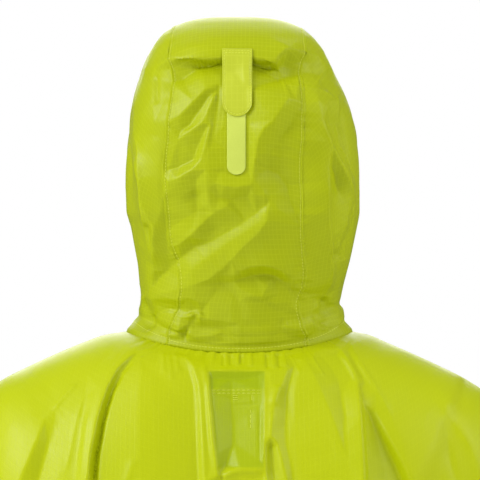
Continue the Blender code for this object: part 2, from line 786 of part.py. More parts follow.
def side_panel_base(side: int) -> np.ndarray:
    """One of the hood's side panels on its smooth form.

    Args:
        side: 1 for the wearer's left, -1 for the right.

    Returns:
        Rows of points from the neck seam up to the top seam, each from the back to the face.
    """
    edge = np.array([1.0 if side > 0 else 0.0])
    seam = centre_panel_base(seam_shares(), edge)
    back, top = seam[: HOOD_BACK_ROWS + 1], seam[HOOD_BACK_ROWS:]
    start = math.acos((abs(seam[0, 0]) / NECK_HALF_WIDTH) ** (NECK_SQUARENESS / 2))
    angles = np.linspace(start, -math.pi / 2, 160)
    neck = even_steps(neck_ring(angles if side > 0 else math.pi - angles), HOOD_CROWN_ROWS + 1)
    drawn = np.array([(side * x, z) for x, z in FACE_EDGE]) * MM
    face = np.vstack([neck[-1:], hood_from(View.FRONT, finer(drawn, 8)), top[-1:]])
    face = even_steps(face, HOOD_BACK_ROWS + 1)
    patch = patch_between(neck, top, back, face)
    return onto_hood(patch.reshape(-1, 3)).reshape(patch.shape)


def draw_in(grid: np.ndarray, distance: float = SEAM_GAP / 2) -> None:
    """Moves a grid's first row of points towards its second, to leave a seam's gap."""
    way = grid[1] - grid[0]
    grid[0] += way * (distance / np.linalg.norm(way, axis=-1))[..., None]


def add_hood(collection: bpy.types.Collection, material: bpy.types.Material) -> BVHTree:
    """Adds the hood's centre panel and its two side panels, and returns the centre panel's outer face."""
    shares = seam_shares()
    across = np.linspace(0.0, 1.0, HOOD_CENTRE_COLUMNS + 1)
    base = centre_panel_base(shares, across).reshape(len(shares), len(across), 3)
    draw_in(base)
    draw_in(base.swapaxes(0, 1))
    draw_in(base.swapaxes(0, 1)[::-1])
    outer, normals = folded_hood(base.reshape(-1, 3))
    centre = panel_tree(outer.reshape(base.shape))
    mesh = grid_wall(base.shape[:2], outer, normals, 0.0, HOOD_CLOTH)
    add_piece("hood_centre_panel", mesh, material, collection)
    for side, name in ((1, "hood_side_left"), (-1, "hood_side_right")):
        base = side_panel_base(side)
        draw_in(base)
        draw_in(base[::-1])
        draw_in(base.swapaxes(0, 1))
        outer, normals = folded_hood(base.reshape(-1, 3))
        mesh = grid_wall(base.shape[:2], outer, normals, 0.0, HOOD_CLOTH)
        add_piece(name, mesh, material, collection)
    return centre


def strap_plane(
    centre_x: float, half_width: float, top_z: float, bottom_z: float, radius: float, rows: int, columns: int
) -> np.ndarray:
    """A straight strap with a rounded lower end, in the plane of the back view.

    Args:
        centre_x: The strap's middle line.
        half_width: Half its width.
        top_z: Its upper end.
        bottom_z: The tip of its rounded end.
        radius: How far up the rounding reaches.
        rows: Rows of points along its straight stretch; the rounded end has as many as it needs.
        columns: Cells across it.

    Returns:
        The places of the points, from the bottom row to the top one.
    """
    turns = np.linspace(STRAP_TIP_TURN, math.pi / 2, STRAP_END_ROWS)
    end = bottom_z + radius * (1 - np.cos(turns))
    end_half = half_width * np.sin(turns)
    straight = np.linspace(bottom_z + radius, top_z, rows)[1:]
    z = np.concatenate([end, straight])
    half = np.concatenate([end_half, np.full(len(straight), half_width)])
    x = centre_x + half[:, None] * np.linspace(-1, 1, columns + 1)[None, :]
    return np.stack([x, np.broadcast_to(z[:, None], x.shape)], axis=-1)


def add_adjuster(
    collection: bpy.types.Collection, cloth: bpy.types.Material, tape: bpy.types.Material, panel: BVHTree
) -> None:
    """Adds the strip on the hood's centre panel and the tab that closes on it."""
    plane = strap_plane(
        STRIP_CENTRE_X, STRIP_HALF_WIDTH, STRIP_TOP_Z, STRIP_BOTTOM_Z, STRIP_END_RADIUS, 22, 4
    )
    base = hood_from(View.BACK, plane.reshape(-1, 2))
    normals = hood_normals(base)
    lift = clear_height(panel, plane.reshape(-1, 2)) + LAID_GAP + STRIP_THICKNESS
    mesh = grid_wall(plane.shape[:2], base, normals, lift, STRIP_THICKNESS)
    add_piece("hood_loop_strip", mesh, tape, collection)

    plane = strap_plane(TAB_CENTRE_X, TAB_HALF_WIDTH, TAB_TOP_Z, TAB_BOTTOM_Z, TAB_END_RADIUS, 22, 6)
    shape = plane.shape[:2]
    plane = plane.reshape(-1, 2)
    heights = []
    for low, high in ((TAB_SEWN_DOWN_TO_Z, TAB_TOP_Z), (TAB_BOTTOM_Z, TAB_CLOSED_FROM_Z)):
        heights.append(clear_height(panel, np.column_stack([plane[:, 0], np.clip(plane[:, 1], low, high)])))
    sewn = heights[0] + LAID_GAP
    closed = heights[1] + 2 * LAID_GAP + STRIP_THICKNESS
    share = smooth_step((TAB_SEWN_DOWN_TO_Z - plane[:, 1]) / (TAB_SEWN_DOWN_TO_Z - TAB_CLOSED_FROM_Z))
    lift = sewn * (1 - share) + closed * share + TAB_THICKNESS
    base = hood_from(View.BACK, plane)
    mesh = grid_wall(shape, base, hood_normals(base), lift, TAB_THICKNESS)
    add_piece("hood_tab", mesh, cloth, collection)


def add_body(collection: bpy.types.Collection, material: bpy.types.Material) -> np.ndarray:
    """Adds the back and the front, which meet along the shoulders, and returns the back's inner points."""
    upper = np.linspace(0.0, UPPER_RINGS, UPPER_ROWS + 1)
    rings = np.concatenate([upper, np.linspace(UPPER_RINGS, LAST_RING, LOWER_ROWS + 1)[1:]])
    _, side_z, _, back_y, _, front_y, _, squareness = curve_through(BODY_STOPS, BODY_ROWS, rings).T
    opened = smooth_step((SLIT_FROM_Z - side_z) / (SLIT_FROM_Z - SLIT_OPEN_Z))
    half_gap = SEAM_GAP / 2 + (SLIT_HALF_GAP - SEAM_GAP / 2) * opened
    steps = np.linspace(0.0, 1.0, BODY_COLUMNS + 1)
    inner_faces = {}
    for name, start, depth in (("back_body", 0.0, back_y), ("front_body", math.pi, front_y)):
        trim = np.arcsin((half_gap / depth) ** (squareness / 2))
        angle = start + trim[:, None] + (math.pi - 2 * trim)[:, None] * steps[None, :]
        ring = np.broadcast_to(rings[:, None], angle.shape)
        outer, normals = folded_body(angle.ravel(), ring.ravel())
        outer = outer.reshape(*angle.shape, 3)
        draw_in(outer)
        inner = outer - BODY_CLOTH * normals.reshape(outer.shape)
        inner_faces[name] = inner
        add_piece(name, closed_wall(outer, inner), material, collection)
    return inner_faces["back_body"]


def between_points(grid: np.ndarray, row: np.ndarray, column: np.ndarray) -> np.ndarray:
    """Reads a panel's grid at parts of a row and of a column, on the two triangles of each cell."""
    i = np.clip(row.astype(int), 0, grid.shape[0] - 2)
    j = np.clip(column.astype(int), 0, grid.shape[1] - 2)
    down, over = (row - i)[..., None], (column - j)[..., None]
    near, far = grid[i, j], grid[i + 1, j + 1]
    beside, below = grid[i, j + 1], grid[i + 1, j]
    upper = near + over * (beside - near) + down * (far - beside)
    lower = near + down * (below - near) + over * (far - below)
    return np.where(over > down, upper, lower)


def with_whole_steps(start: float, end: float) -> np.ndarray:
    """Two places in a grid with every whole step between them."""
    return np.concatenate([[start], np.arange(math.ceil(start), math.floor(end) + 1), [end]])


def add_patch(collection: bpy.types.Collection, material: bpy.types.Material, back: np.ndarray) -> None:
    """Adds the small patch on the inside of the upper back, along the back's own rows and columns."""
    middle = back[:, BODY_COLUMNS // 2, 2]
    steps = np.arange(len(middle), dtype=float)
    top, bottom = (np.interp(-z, -middle, steps) for z in (PATCH_TOP_Z, PATCH_BOTTOM_Z))
    rows = with_whole_steps(top, bottom)
    share = (rows - top) / (bottom - top)
    places = np.arange(BODY_COLUMNS + 1, dtype=float)
    column = []
    for row, part in zip(rows, share):
        line = between_points(back, np.full(len(places), row), places)[:, 0]
        right, left = (
            side["top"] * (1 - part) + side["bottom"] * part for side in (PATCH_RIGHT, PATCH_LEFT)
        )
        column.append(np.interp(-np.linspace(left, right, PATCH_COLUMNS + 1), -line, places))
    column = np.array(column)
    row = np.broadcast_to(rows[:, None], column.shape)
    face = between_points(back, row, column)
    slopes = np.cross(np.gradient(face, axis=0), np.gradient(face, axis=1))
    inward = slopes / np.linalg.norm(slopes, axis=-1)[..., None]
    if inward[0, 0, 1] > 0:
        inward = -inward
    outer = face + inward * PATCH_GAP
    add_piece("back_patch", closed_wall(outer, outer + inward * PATCH_THICKNESS), material, collection)


def main() -> None:
    """Clears the file's objects and builds the poncho."""
    for old in list(bpy.data.objects):
        bpy.data.objects.remove(old, do_unlink=True)
    collection = bpy.data.collections.new("rain_poncho")
    bpy.context.scene.collection.children.link(collection)
    cloth = cloth_material("coated_ripstop", (0.42, 0.50, 0.02), 0.42)
    tape = cloth_material("loop_tape", (0.52, 0.62, 0.10), 0.75)
    centre_panel = add_hood(collection, cloth)
    add_adjuster(collection, cloth, tape, centre_panel)
    back = add_body(collection, cloth)
    add_patch(collection, cloth, back)


if __name__ == "__main__":
    main()
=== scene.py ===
"""A rain poncho in its worn form: a panelled hood with a size adjuster on a wide front and back.

Units are metres and +Z is up. The wearer faces -Y, so the wearer's left is +X. Rows of the tables below
are in millimetres, and MM turns them into metres. The hood and the body are each a smooth hollow form.
Creases are lines drawn on a form in one of its views, and the cloth is a thin shell that follows them.
"""

from __future__ import annotations

import logging
import math
from dataclasses import astuple, dataclass, field
from enum import Enum

import bpy
import numpy as np
from bpy.types import Material, Mesh, Object
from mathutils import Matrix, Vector
from mathutils.bvhtree import BVHTree
from mathutils.geometry import delaunay_2d_cdt


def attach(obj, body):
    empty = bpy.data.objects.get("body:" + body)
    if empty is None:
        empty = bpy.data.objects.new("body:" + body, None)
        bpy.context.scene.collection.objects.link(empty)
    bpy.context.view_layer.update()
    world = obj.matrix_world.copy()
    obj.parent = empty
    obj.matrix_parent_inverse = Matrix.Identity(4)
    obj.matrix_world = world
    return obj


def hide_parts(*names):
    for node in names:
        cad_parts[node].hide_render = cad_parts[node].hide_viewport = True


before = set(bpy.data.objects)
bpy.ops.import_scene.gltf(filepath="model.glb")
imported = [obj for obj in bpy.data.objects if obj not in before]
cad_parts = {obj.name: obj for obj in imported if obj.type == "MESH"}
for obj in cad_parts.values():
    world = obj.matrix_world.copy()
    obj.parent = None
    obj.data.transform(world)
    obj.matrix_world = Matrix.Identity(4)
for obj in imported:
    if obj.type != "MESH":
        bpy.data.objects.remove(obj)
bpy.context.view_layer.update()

Array = np.ndarray
Pair = tuple[float, float]
Triple = tuple[float, float, float]
Box = tuple[float, float, float, float]

MM = 0.001
LOG = logging.getLogger("rain_poncho")
CLOTH_MAP = "cloth"
# The attribute that carries painted shade where the cloth lies double
DOUBLED_SHADE = "doubled"
BISECTIONS = 40

# The cloth's thickness, how far a turned hem stands out, and how much painted shade darkens the cloth where
# it lies double
CLOTH = 0.5 * MM
HEM_LIFT = 0.3 * MM
HEM_SHADE = 0.35

# How far a facet's border is rounded, and how far a place has to face the back to take the full facets
BORDER_ROUNDING = 0.8 * MM
FACING_BACK = 0.2


class View(Enum):
    """A side that a form is drawn from: the two axes of its plane and the sign of the third."""

    BACK = (0, 2, 1, 1)
    FRONT = (0, 2, 1, -1)
    LEFT = (1, 2, 0, 1)
    RIGHT = (1, 2, 0, -1)


class Edge(Enum):
    """How round a crease's crest is: the exponent of its flanks, and 0 for straight flanks like a tent's."""

    ROUND = 2.0
    SOFT = 1.6
    CRISP = 1.05
    TENT = 0.0


class Slot(Enum):
    """Names of two material slots."""

    RIPSTOP = "coated_ripstop"
    TAPE = "loop_tape"


@dataclass(frozen=True)
class HoodSection:
    """A level section of the hood, at a height over the neck seam."""

    height: float
    half_width: float
    lean: float
    back: float
    front: float
    squareness: float


@dataclass(frozen=True)
class BodyRing:
    """A ring round the body, from the neck seam down to the hem."""

    side_x: float
    side_z: float
    lean: float
    back_y: float
    back_z: float
    front_y: float
    front_z: float
    squareness: float


@dataclass(frozen=True)
class SeamRow:
    """Where the hood's two long seams lie, at a share of the way from the neck to the brim."""

    share: float
    left: float
    right: float


@dataclass(frozen=True)
class Drape:
    """A hanging fold: its place round the body from -1 to 1, 0 being the middle of the back."""

    place: float
    height: float
    width: float
    from_z: float


@dataclass(frozen=True)
class Crease:
    """A crease drawn on a form: its height, the reach of its two flanks, its line and its crest.

    The left flank is the one on the left of a walk along the line, as seen from outside.
    """

    view: View
    height: float
    left: float
    right: float
    line: tuple[Pair, ...]
    edge: Edge = Edge.SOFT


def rows_of(kind: type, *rows: tuple) -> tuple:
    """Makes one entry of a kind from each row of its values."""
    return tuple(kind(*row) for row in rows)


def back_creases(edge: Edge, *rows: tuple) -> tuple[Crease, ...]:
    """Turns rows of height, left, right and line into creases of the back; a row may end in its own edge."""
    return tuple(Crease(View.BACK, *(*row, edge)[:5]) for row in rows)


# Level sections of the smooth hood: height, half width, lean, back, front and squareness
HOOD_SECTIONS = rows_of(
    HoodSection,
    (0, 113, 0, 82, 88, 2.2), (5, 110, 0, 81, 88, 2.2), (10, 105.5, 0.5, 80, 89, 2.22),
    (16, 102.5, -2, 80, 91, 2.26), (22, 102, -1.5, 81, 93, 2.3), (28, 99.5, 0, 81, 95, 2.35),
    (34, 100, -1, 82, 97, 2.4), (58, 104, -3, 89, 107, 2.5), (82, 109, -4, 97, 116, 2.6),
    (106, 113.5, -4.5, 104, 122, 2.7), (120, 116.5, -3.5, 108, 125, 2.75), (154, 117, -3, 113, 129, 2.8),
    (190, 114.5, -3, 113, 132, 2.8), (214, 112, -2, 112, 134, 2.8), (232, 108, -0.5, 111, 136, 2.75),
    (256, 102, 2, 109, 138, 2.7), (280, 100.5, 3, 107, 140, 2.65), (314, 103, 3.5, 106, 140, 2.6),
)

# Rings of the smooth body: side x and z, lean, back y and z, front y and z, and squareness
BODY_RINGS = rows_of(
    BodyRing,
    (113, -1, 0, 82, -21.5, 88, -50, 2.2), (131, -4, 2.5, 98, -38, 102, -70, 2.25),
    (152, -12, 4.5, 112, -58, 116, -93, 2.32), (178, -23, 5, 124, -84, 131, -122, 2.42),
    (204, -35, 5, 136, -114, 146, -155, 2.5), (231, -48.5, 5, 146, -148, 160, -190, 2.58),
    (256, -66, 5, 154, -185, 172, -228, 2.62), (276, -92, 5, 160, -228, 181, -272, 2.62),
    (289, -130, 5, 165, -278, 188, -320, 2.58), (298, -185, 4.5, 169, -335, 194, -374, 2.5),
    (307, -260, 4, 174, -400, 201, -436, 2.45), (321, -360, 3.5, 181, -480, 211, -510, 2.4),
    (341, -480, 3, 192, -580, 225, -604, 2.35), (367, -620, 2, 207, -700, 243, -716, 2.3),
    (398, -780, 1, 226, -840, 265, -848, 2.25), (430, -930, 0, 247, -970, 287, -974, 2.2),
    (444, -1000, 0, 256, -1030, 297, -1032, 2.2),
)

SEAM_ROWS = rows_of(
    SeamRow,
    (0, 72, -68), (0.04, 66, -60), (0.09, 61, -58), (0.15, 58, -63), (0.21, 61, -64), (0.28, 67, -63),
    (0.36, 71, -62), (0.46, 74, -63), (0.54, 76, -62), (0.6, 72, -63), (0.75, 68, -64), (1, 60, -60),
)

FACE_EDGE = (
    (0.15, -20), (0.15, 4), (9, 5), (24, 9), (40, 19), (54, 36),
    (66, 62), (75, 98), (80, 140), (82, 185), (80, 225), (75, 258),
)

HOOD_FOLDS = rows_of(
    Crease,
    # The tuck that the adjuster pulls in under the crown, and the roll above it
    (View.BACK, -3.0, 7, 12, ((70, 258), (44, 267), (14, 264), (-14, 264), (-40, 267), (-74, 258))),
    (View.BACK, 2.0, 18, 9, ((60, 279), (20, 279), (-16, 279), (-56, 279))),
    # The back of the hood
    (View.BACK, 4.0, 14, 14, ((-34, 120), (0, 96), (28, 76), (60, 50))),
    (View.BACK, -3.5, 13, 13, ((48, 140), (32, 114), (22, 92))),
    (View.BACK, 3.0, 16, 8, ((10, 60), (-6, 64), (-24, 66), (-45, 57), (-60, 46))),
    # The sides of the hood
    (View.BACK, 4.5, 9, 16, ((-88, 166), (-84, 140), (-84, 110), (-87, 80), (-87, 46), (-84, 30))),
    (View.BACK, -4.0, 11, 11, ((-86, 222), (-95, 175), (-103, 126))),
    (View.BACK, 3.0, 10, 10, ((-90, 74), (-104, 104), (-112, 132))),
    (View.BACK, 4.5, 10, 12, ((104, 178), (94, 142), (92, 118), (82, 98), (84, 66))),
    (View.LEFT, -4.0, 14, 14, ((30, 230), (-10, 175), (-30, 110), (-34, 60))),
    (View.LEFT, 4.0, 12, 14, ((-40, 210), (-62, 150), (-66, 90), (-50, 40))),
    (View.RIGHT, -4.0, 14, 14, ((24, 236), (-14, 190), (-26, 130), (-36, 70))),
    (View.RIGHT, 4.0, 13, 12, ((-44, 222), (-60, 165), (-70, 100), (-52, 46))),
    # The creases where the hood is pushed down on the neck
    (View.BACK, -5.0, 9, 9, ((-86, 34), (-82, 18), (-78, 4))),
    (View.BACK, 4.0, 9, 9, ((-74, 6), (-90, 14), (-104, 10))),
    (View.BACK, -4.0, 9, 9, ((96, 30), (92, 16), (86, 4))),
    (View.BACK, 3.0, 9, 9, ((46, 20), (50, 8), (56, -4))),
    (View.FRONT, -4.0, 10, 10, ((84, 52), (60, 22), (30, -14))),
    (View.FRONT, -4.0, 10, 10, ((-88, 60), (-66, 20), (-36, -12))),
)

# The two lower edges of the roll that hangs over the tuck, beside the tab
TUCK_LINES = (
    ((66, 265), (58, 268.5), (45, 269.5), (30, 269.5), (17, 270), (8, 269.5)),
    ((-6, 269.5), (-13, 269.5), (-28, 268), (-36, 265.5), (-44, 260)),
)

HOOD_CREASES = back_creases(
    Edge.CRISP,
    # The tuck beside the tab, on the wearer's left
    (-4.0, 2.0, 2.0, ((50, 266), (45, 267), (34, 268), (17, 269.5), (8, 269.5)), Edge.SOFT),
    # The tuck beside the tab, on the right
    (-4.0, 2.0, 2.0, ((-6, 269), (-13, 269), (-28, 266.5), (-36, 265)), Edge.SOFT),
    (1.0, 4, 2.5, ((-37, 269), (-47, 276), (-60, 274), (-75, 271), (-82, 264), (-78, 256))),
    (1.2, 2.5, 3, ((-42, 251), (-60, 244), (-78, 240), (-95, 232))),
    (1.5, 2.5, 3, ((-86, 263), (-83, 254), (-76, 245))),
    # Small creases of the back and the sides
    (1.4, 3, 3, ((103, 195), (97, 172), (94, 150), (93, 130), (92, 112), (90, 90))),
    (1.2, 2.5, 3, ((93, 130), (86, 114), (81, 104), (82, 84))),
    (1.4, 3, 3, ((-78, 212), (-83, 195), (-92, 176), (-102, 157), (-112, 138))),
    (1.4, 3, 3, ((-117, 128), (-110, 107), (-101, 91), (-92, 77))),
    (-2.0, 4, 4, ((85, 256), (84, 240), (83, 224)), Edge.SOFT),
    (1.2, 3, 3, ((-96, 237), (-99, 222), (-101, 210), (-108, 194)), Edge.SOFT),
    (1.2, 2.5, 3.5, ((-24, 140), (-27, 114))),
    (0.7, 3, 3, ((-20, 186), (-58, 182))),
    (0.7, 3, 3, ((-18, 176), (-60, 170))),
    (1.2, 3, 2, ((-85, 150), (-84, 125), (-86, 95), (-87, 75), (-87, 46))),
    (1.0, 2, 3, ((-98, 95), (-97, 75), (-99, 58))),
    (1.0, 2, 3, ((-106, 92), (-104, 74), (-106, 58))),
    # Round the neck
    (1.0, 2.0, 2.5, ((84, 19), (77, 22.5), (70, 24), (60, 23))),
    (1.2, 2.0, 2.5, ((50, 17), (44, 20), (40, 20.5), (38, 17), (39, 8))),
    (-0.7, 1.5, 1.5, ((-45, 20), (-48, 4))),
    (-0.7, 1.5, 1.5, ((-49, 22), (-52, 3))),
    (-0.7, 1.5, 1.5, ((-53, 22), (-56, 2))),
    (-0.7, 1.5, 1.5, ((-57, 21), (-60, 2))),
    (-0.7, 1.5, 1.5, ((-61, 20), (-64, 3))),
    (1.0, 2.0, 2.0, ((-69, 18), (-71, 6))),
    (1.0, 2.5, 2.5, ((-62, 31), (-72, 34), (-86, 35))),
    (0.8, 1.5, 1.5, ((-84, 28), (-89, 17))),
    (1.0, 2.0, 2.0, ((-78, 2), (-92, 3), (-99, 9))),
)

# The broad flat facets that the hood's back falls into: lines of corners, each with its place across and
# up in the back view and its height over the smooth form. The cloth lies flat between the lines.
HOOD_FACET_LINES = (
    # Along the tuck: the roll's lower edge, the cloth tucked in under it, and the foot of the shaded facets
    ((104, 262, 0), (86, 260, 1), (73, 266, 4), (60, 269, 6), (45, 270.5, 6), (30, 271.5, 5),
     (17, 271.5, 4), (-6, 271, 4), (-20, 270.5, 4), (-31, 268.5, 5), (-37, 269, 6), (-47, 275.5, 7),
     (-60, 274, 5), (-75, 271, 3.5), (-82, 265, 1.5), (-104, 256, 0)),
    ((84, 257, -1), (73, 261.5, -2), (60, 265, -4), (45, 267, -4.5), (30, 268.5, -4), (17, 269, -3)),
    ((-13, 268.5, -3), (-30, 265.5, -5), (-38, 265, -5), (-47, 270.5, -4), (-60, 270, -3), (-75, 267, -2)),
    ((86, 253, -1.5), (72, 250, -7), (60, 254.5, -9.5), (49, 262, -7.5), (39, 264.5, -5.5), (17, 266, -4)),
    ((-14, 265.5, -4), (-28, 260.5, -7), (-42, 254, -10.5), (-46, 255.5, -9.5), (-51, 259.5, -7.5),
     (-62, 259, -6), (-75, 258, -4)),
    # Over the crown
    ((62, 288, 2.5), (30, 289, 3), (0, 289, 3), (-30, 289, 3), (-62, 288, 2.5)),
    ((55, 303, 0.8), (0, 304, 0.8), (-55, 303, 0.8)),
    # Left of the tab
    ((20, 246, -0.5), (33, 240, 1.5), (45, 228, 1.5), (60, 213, 0), (73, 204, 0.5), (84, 206, 1)),
    ((31, 234, -3.5), (40, 221, -5), (51, 205, -6), (60, 198, -4.5)),
    ((26, 232, 0), (33, 214, 0.5), (38, 206, 1), (50, 198, -0.5), (61, 190, -1.5)),
    ((21, 240, -2.5), (22, 225, -3), (25, 205, -3), (27, 190, -1.5)),
    ((34, 200, -3), (41, 185, -4.5), (47, 170, -6), (62, 163, -6), (72, 160, -3)),
    ((29, 206, -0.5), (33, 188, 1.5), (38, 170, 1.5), (48, 159, 2.5), (62, 151, 2.5), (70, 148, 1.5)),
    ((30, 180, 1), (33, 160, 2.5), (32, 140, 2.5), (30, 126, 2)),
    ((43, 150, -2), (45, 135, -4), (43, 118, -4)),
    # Beside and under the strip
    ((16, 240, -0.5), (14, 205, -0.5), (14, 180, -0.5), (14, 162, -0.5)),
    ((-9, 240, 0), (-9, 205, 0.5), (-9, 180, 0), (-9, 162, -0.5)),
    ((20, 157, -0.5), (-8, 157, -0.5)),
    ((24, 147, 2), (14, 144, 4), (2, 143, 4), (-12, 145, 3)),
    ((20, 132, -2), (8, 130, -3.5), (-8, 133, -3)),
    # Right of the tab
    ((-62, 224, 2), (-55, 227, 5), (-47, 228, 8), (-40, 218, 8.5), (-34, 208, 8.5), (-24, 200, 8),
     (-18, 190, 6), (-16, 172, 4), (-14, 150, 2), (-13, 136, 1.5)),
    ((-62, 206, 0.5), (-52, 206, -2), (-42, 192, -2.5), (-32, 180, -2.5)),
    ((-18, 165, -1.5), (-28, 161, -7), (-40, 156, -9.5), (-49, 144, -8.5), (-52, 128, -5)),
    ((-30, 131, 0.5), (-42, 118, 2), (-60, 104, 1.5)),
    # The bright band across the middle, between its shaded upper side and its crest
    ((12, 124, 0), (25, 118, 1.5), (38, 106, 2), (50, 94, 2), (60, 86, 1.5)),
    ((-28, 127, -0.5), (-16, 117, -3), (-5, 109, -4), (10, 99, -5), (30, 88, -5.5), (45, 83, -5.5),
     (60, 72, -5), (72, 61, -3.5), (81, 52, -1.5)),
    ((-29, 122, 3), (-27, 112, 5), (-18, 99, 5.5), (-4, 86, 5.5), (8, 73, 5.5), (18, 62, 6), (29, 53, 5.5),
     (45, 47, 5.5), (60, 42, 5), (76, 38, 4)),
    # The two small arches under it, and the bright corner between them
    ((29, 53, 5.5), (22, 54.5, 5), (12, 56.5, 4.5), (4, 57, 3.5)),
    ((27, 46, 3), (17, 48, 1), (6, 49, 1)),
    ((0, 60, 2), (-8, 65, 3.5), (-20, 67, 4), (-32, 65, 4), (-42, 61, 3.5), (-51, 56, 2)),
    ((-3, 52, -1.5), (-14, 55, -3), (-26, 56, -3.5), (-36, 54, -3.5), (-46, 48, -1.5)),
    ((-26, 56, -3.5), (-27, 45, 4), (-22, 35, 6)),
    ((-2, 42, 3), (-4, 34, 4)),
    ((-36, 44, -0.5), (-40, 38, 0.5)),
    # The left side panel
    ((105, 198, 1.5), (98, 174, 3), (95, 150, 3.5), (93, 130, 4), (91, 105, 3), (87, 80, 3)),
    ((93, 130, 4), (86, 114, 4), (81, 104, 4), (82, 80, 4), (84, 60, 3.5), (86, 42, 2)),
    ((110, 190, -1), (109, 160, -3), (108, 130, -3), (104, 100, -2), (98, 78, 0)),
    ((80, 192, -0.5), (78, 160, -1), (76, 130, -1), (73, 100, -1), (72, 82, -1)),
    ((88, 104, 1), (86, 94, 1)),
    # The right side panel
    ((-97, 229, 1.5), (-86, 227, 4.5), (-76, 226, 6), (-80, 208, 7.5), (-88, 186, 9), (-98, 165, 9)),
    ((-98, 165, 8), (-108, 145, 5), (-115, 133, 1)),
    ((-104, 222, -2), (-100, 205, -5), (-104, 185, -5), (-110, 168, -3), (-116, 150, -1)),
    ((-92, 162, 1), (-85, 150, 3), (-84, 125, 3.5), (-86, 95, 3.5), (-87, 70, 3), (-87, 46, 2)),
    ((-96, 156, 0), (-99, 146, -2), (-104, 135, -2), (-106, 124, -2)),
    ((-117, 126, -1), (-111, 108, -2.5), (-101, 91, -3), (-92, 76, -2.5)),
    ((-112, 90, 0.5), (-107, 72, 1), (-102, 56, 1), (-96, 42, 0.5)),
    # Round the neck, on the left
    ((104, 34, 0), (97, 33, 2), (90, 33, 2.5), (84, 32, 2.5), (76, 33, 3.5), (62, 32, 4.5), (49, 33.5, 4.5),
     (41, 30, 4)),
    ((98, 14, -1), (91, 12, -2.5), (87, 13, -2.5), (84, 17, -2), (77, 21.5, -2), (70, 22.5, -2),
     (60, 21.5, -2), (51, 18, -2), (44, 21, -1), (37, 20, 0)),
    ((82, 12, 0), (76, 17.5, 1), (70, 19, 1.5), (62, 17.5, 1.5)),
    ((58, 14, 1.5), (59, 2, 4.5), (60, -4, 3)),
    ((49, 15, 1.5), (45, 17.5, 2), (40, 18, 3), (39, 9, 1.5)),
    ((43, 15, -0.5), (48, 8, -2.5), (53, -1, -3), (55, -9, -1)),
    ((49, 3, -1), (40, 4, -1), (28, 3.5, -0.5), (17, 2.5, 0.5)),
    ((49, -4, 3.5), (38, -5.5, 4.5), (26, -4, 4), (18, 0, 2)),
    ((48, -10, 1.5), (30, -11, 1.5), (16, -11, 1.5)),
    # Round the neck, on the right
    ((-60, 30, -1.5), (-72, 33, -1.5), (-86, 34, -1)),
    ((-42, 19, 1.5), (-41, 4, 2.5), (-48, -5, 2.5), (-66, -6, 2.5), (-80, -5, 1.5), (-100, -2, 0)),
    ((-46, 18, 2), (-44.5, 5, 5), (-57, 3, 6.5), (-57, 17, 2.5), (-46, 18, 2)),
    ((-68, 18, 2.5), (-70, 5, 4.5), (-76, 4, 2)),
    ((-81, 27, 1), (-79, 15, 1), (-76, 4, 2)),
    ((-86, 27, -1), (-88, 15, -3.5), (-83, 8, -3)),
    ((-90, 29, 1), (-97, 26, 0.5)),
    ((-91, 13, -4), (-101, 14, -3)),
    ((-79, 1.5, 0.5), (-92, 3, 1.5), (-99, 8, 0.5)),
    # The edges of the field, where it is level
    ((125, -20, 0), (125, 325, 0), (-125, 325, 0), (-125, -20, 0), (125, -20, 0)),
    ((30, 30, 3), (0, 29, 3.5), (-22, 30, 4), (-50, 29, 2)),
    ((30, 12, 3.5), (0, 8, 4.5), (-30, 10, 4.5)),
    ((0, -12, 3), (-28, -12, 3)),
)

BODY_FOLDS = rows_of(
    Crease,
    # The upper back
    (View.BACK, 2.0, 6, 30, ((106, -16), (121, -32), (131, -50), (143, -88), (151, -155),
                             (162, -260)), Edge.TENT),
    (View.BACK, 2.0, 8, 24, ((183, -74), (195, -98), (204, -122), (214, -152), (228, -230)), Edge.TENT),
    (View.BACK, 2.0, 7, 20, ((-116, -50), (-119, -80), (-121, -115), (-122, -150),
                             (-126, -250)), Edge.TENT),
    (View.BACK, -2.0, 11, 11, ((-122, -60), (-132, -88), (-141, -120), (-148, -160), (-156, -240))),
    (View.BACK, 3.0, 22, 11, ((-196, -56), (-206, -72), (-221, -95), (-234, -122), (-248, -180))),
    # The upper front
    (View.FRONT, 7.0, 13, 20, ((64, -48), (92, -98), (104, -160), (112, -270))),
    (View.FRONT, 6.0, 20, 13, ((-60, -50), (-84, -104), (-98, -175), (-104, -290))),
    (View.FRONT, 4.0, 12, 12, ((18, -64), (30, -120), (34, -220))),
    (View.FRONT, 4.0, 12, 12, ((-24, -64), (-40, -130), (-46, -210))),
    (View.FRONT, 6.0, 14, 20, ((136, -22), (168, -76), (186, -140), (200, -240))),
    (View.FRONT, 6.0, 20, 14, ((-130, -20), (-160, -72), (-180, -150), (-192, -230))),
    # The shoulders, over the arms
    (View.LEFT, 6.0, 14, 18, ((40, -120), (52, -200), (60, -320))),
    (View.LEFT, 6.0, 16, 14, ((-44, -130), (-58, -210), (-64, -300))),
    (View.RIGHT, 6.0, 14, 18, ((48, -128), (56, -220), (66, -310))),
    (View.RIGHT, 6.0, 16, 14, ((-38, -124), (-50, -190), (-62, -330))),
)

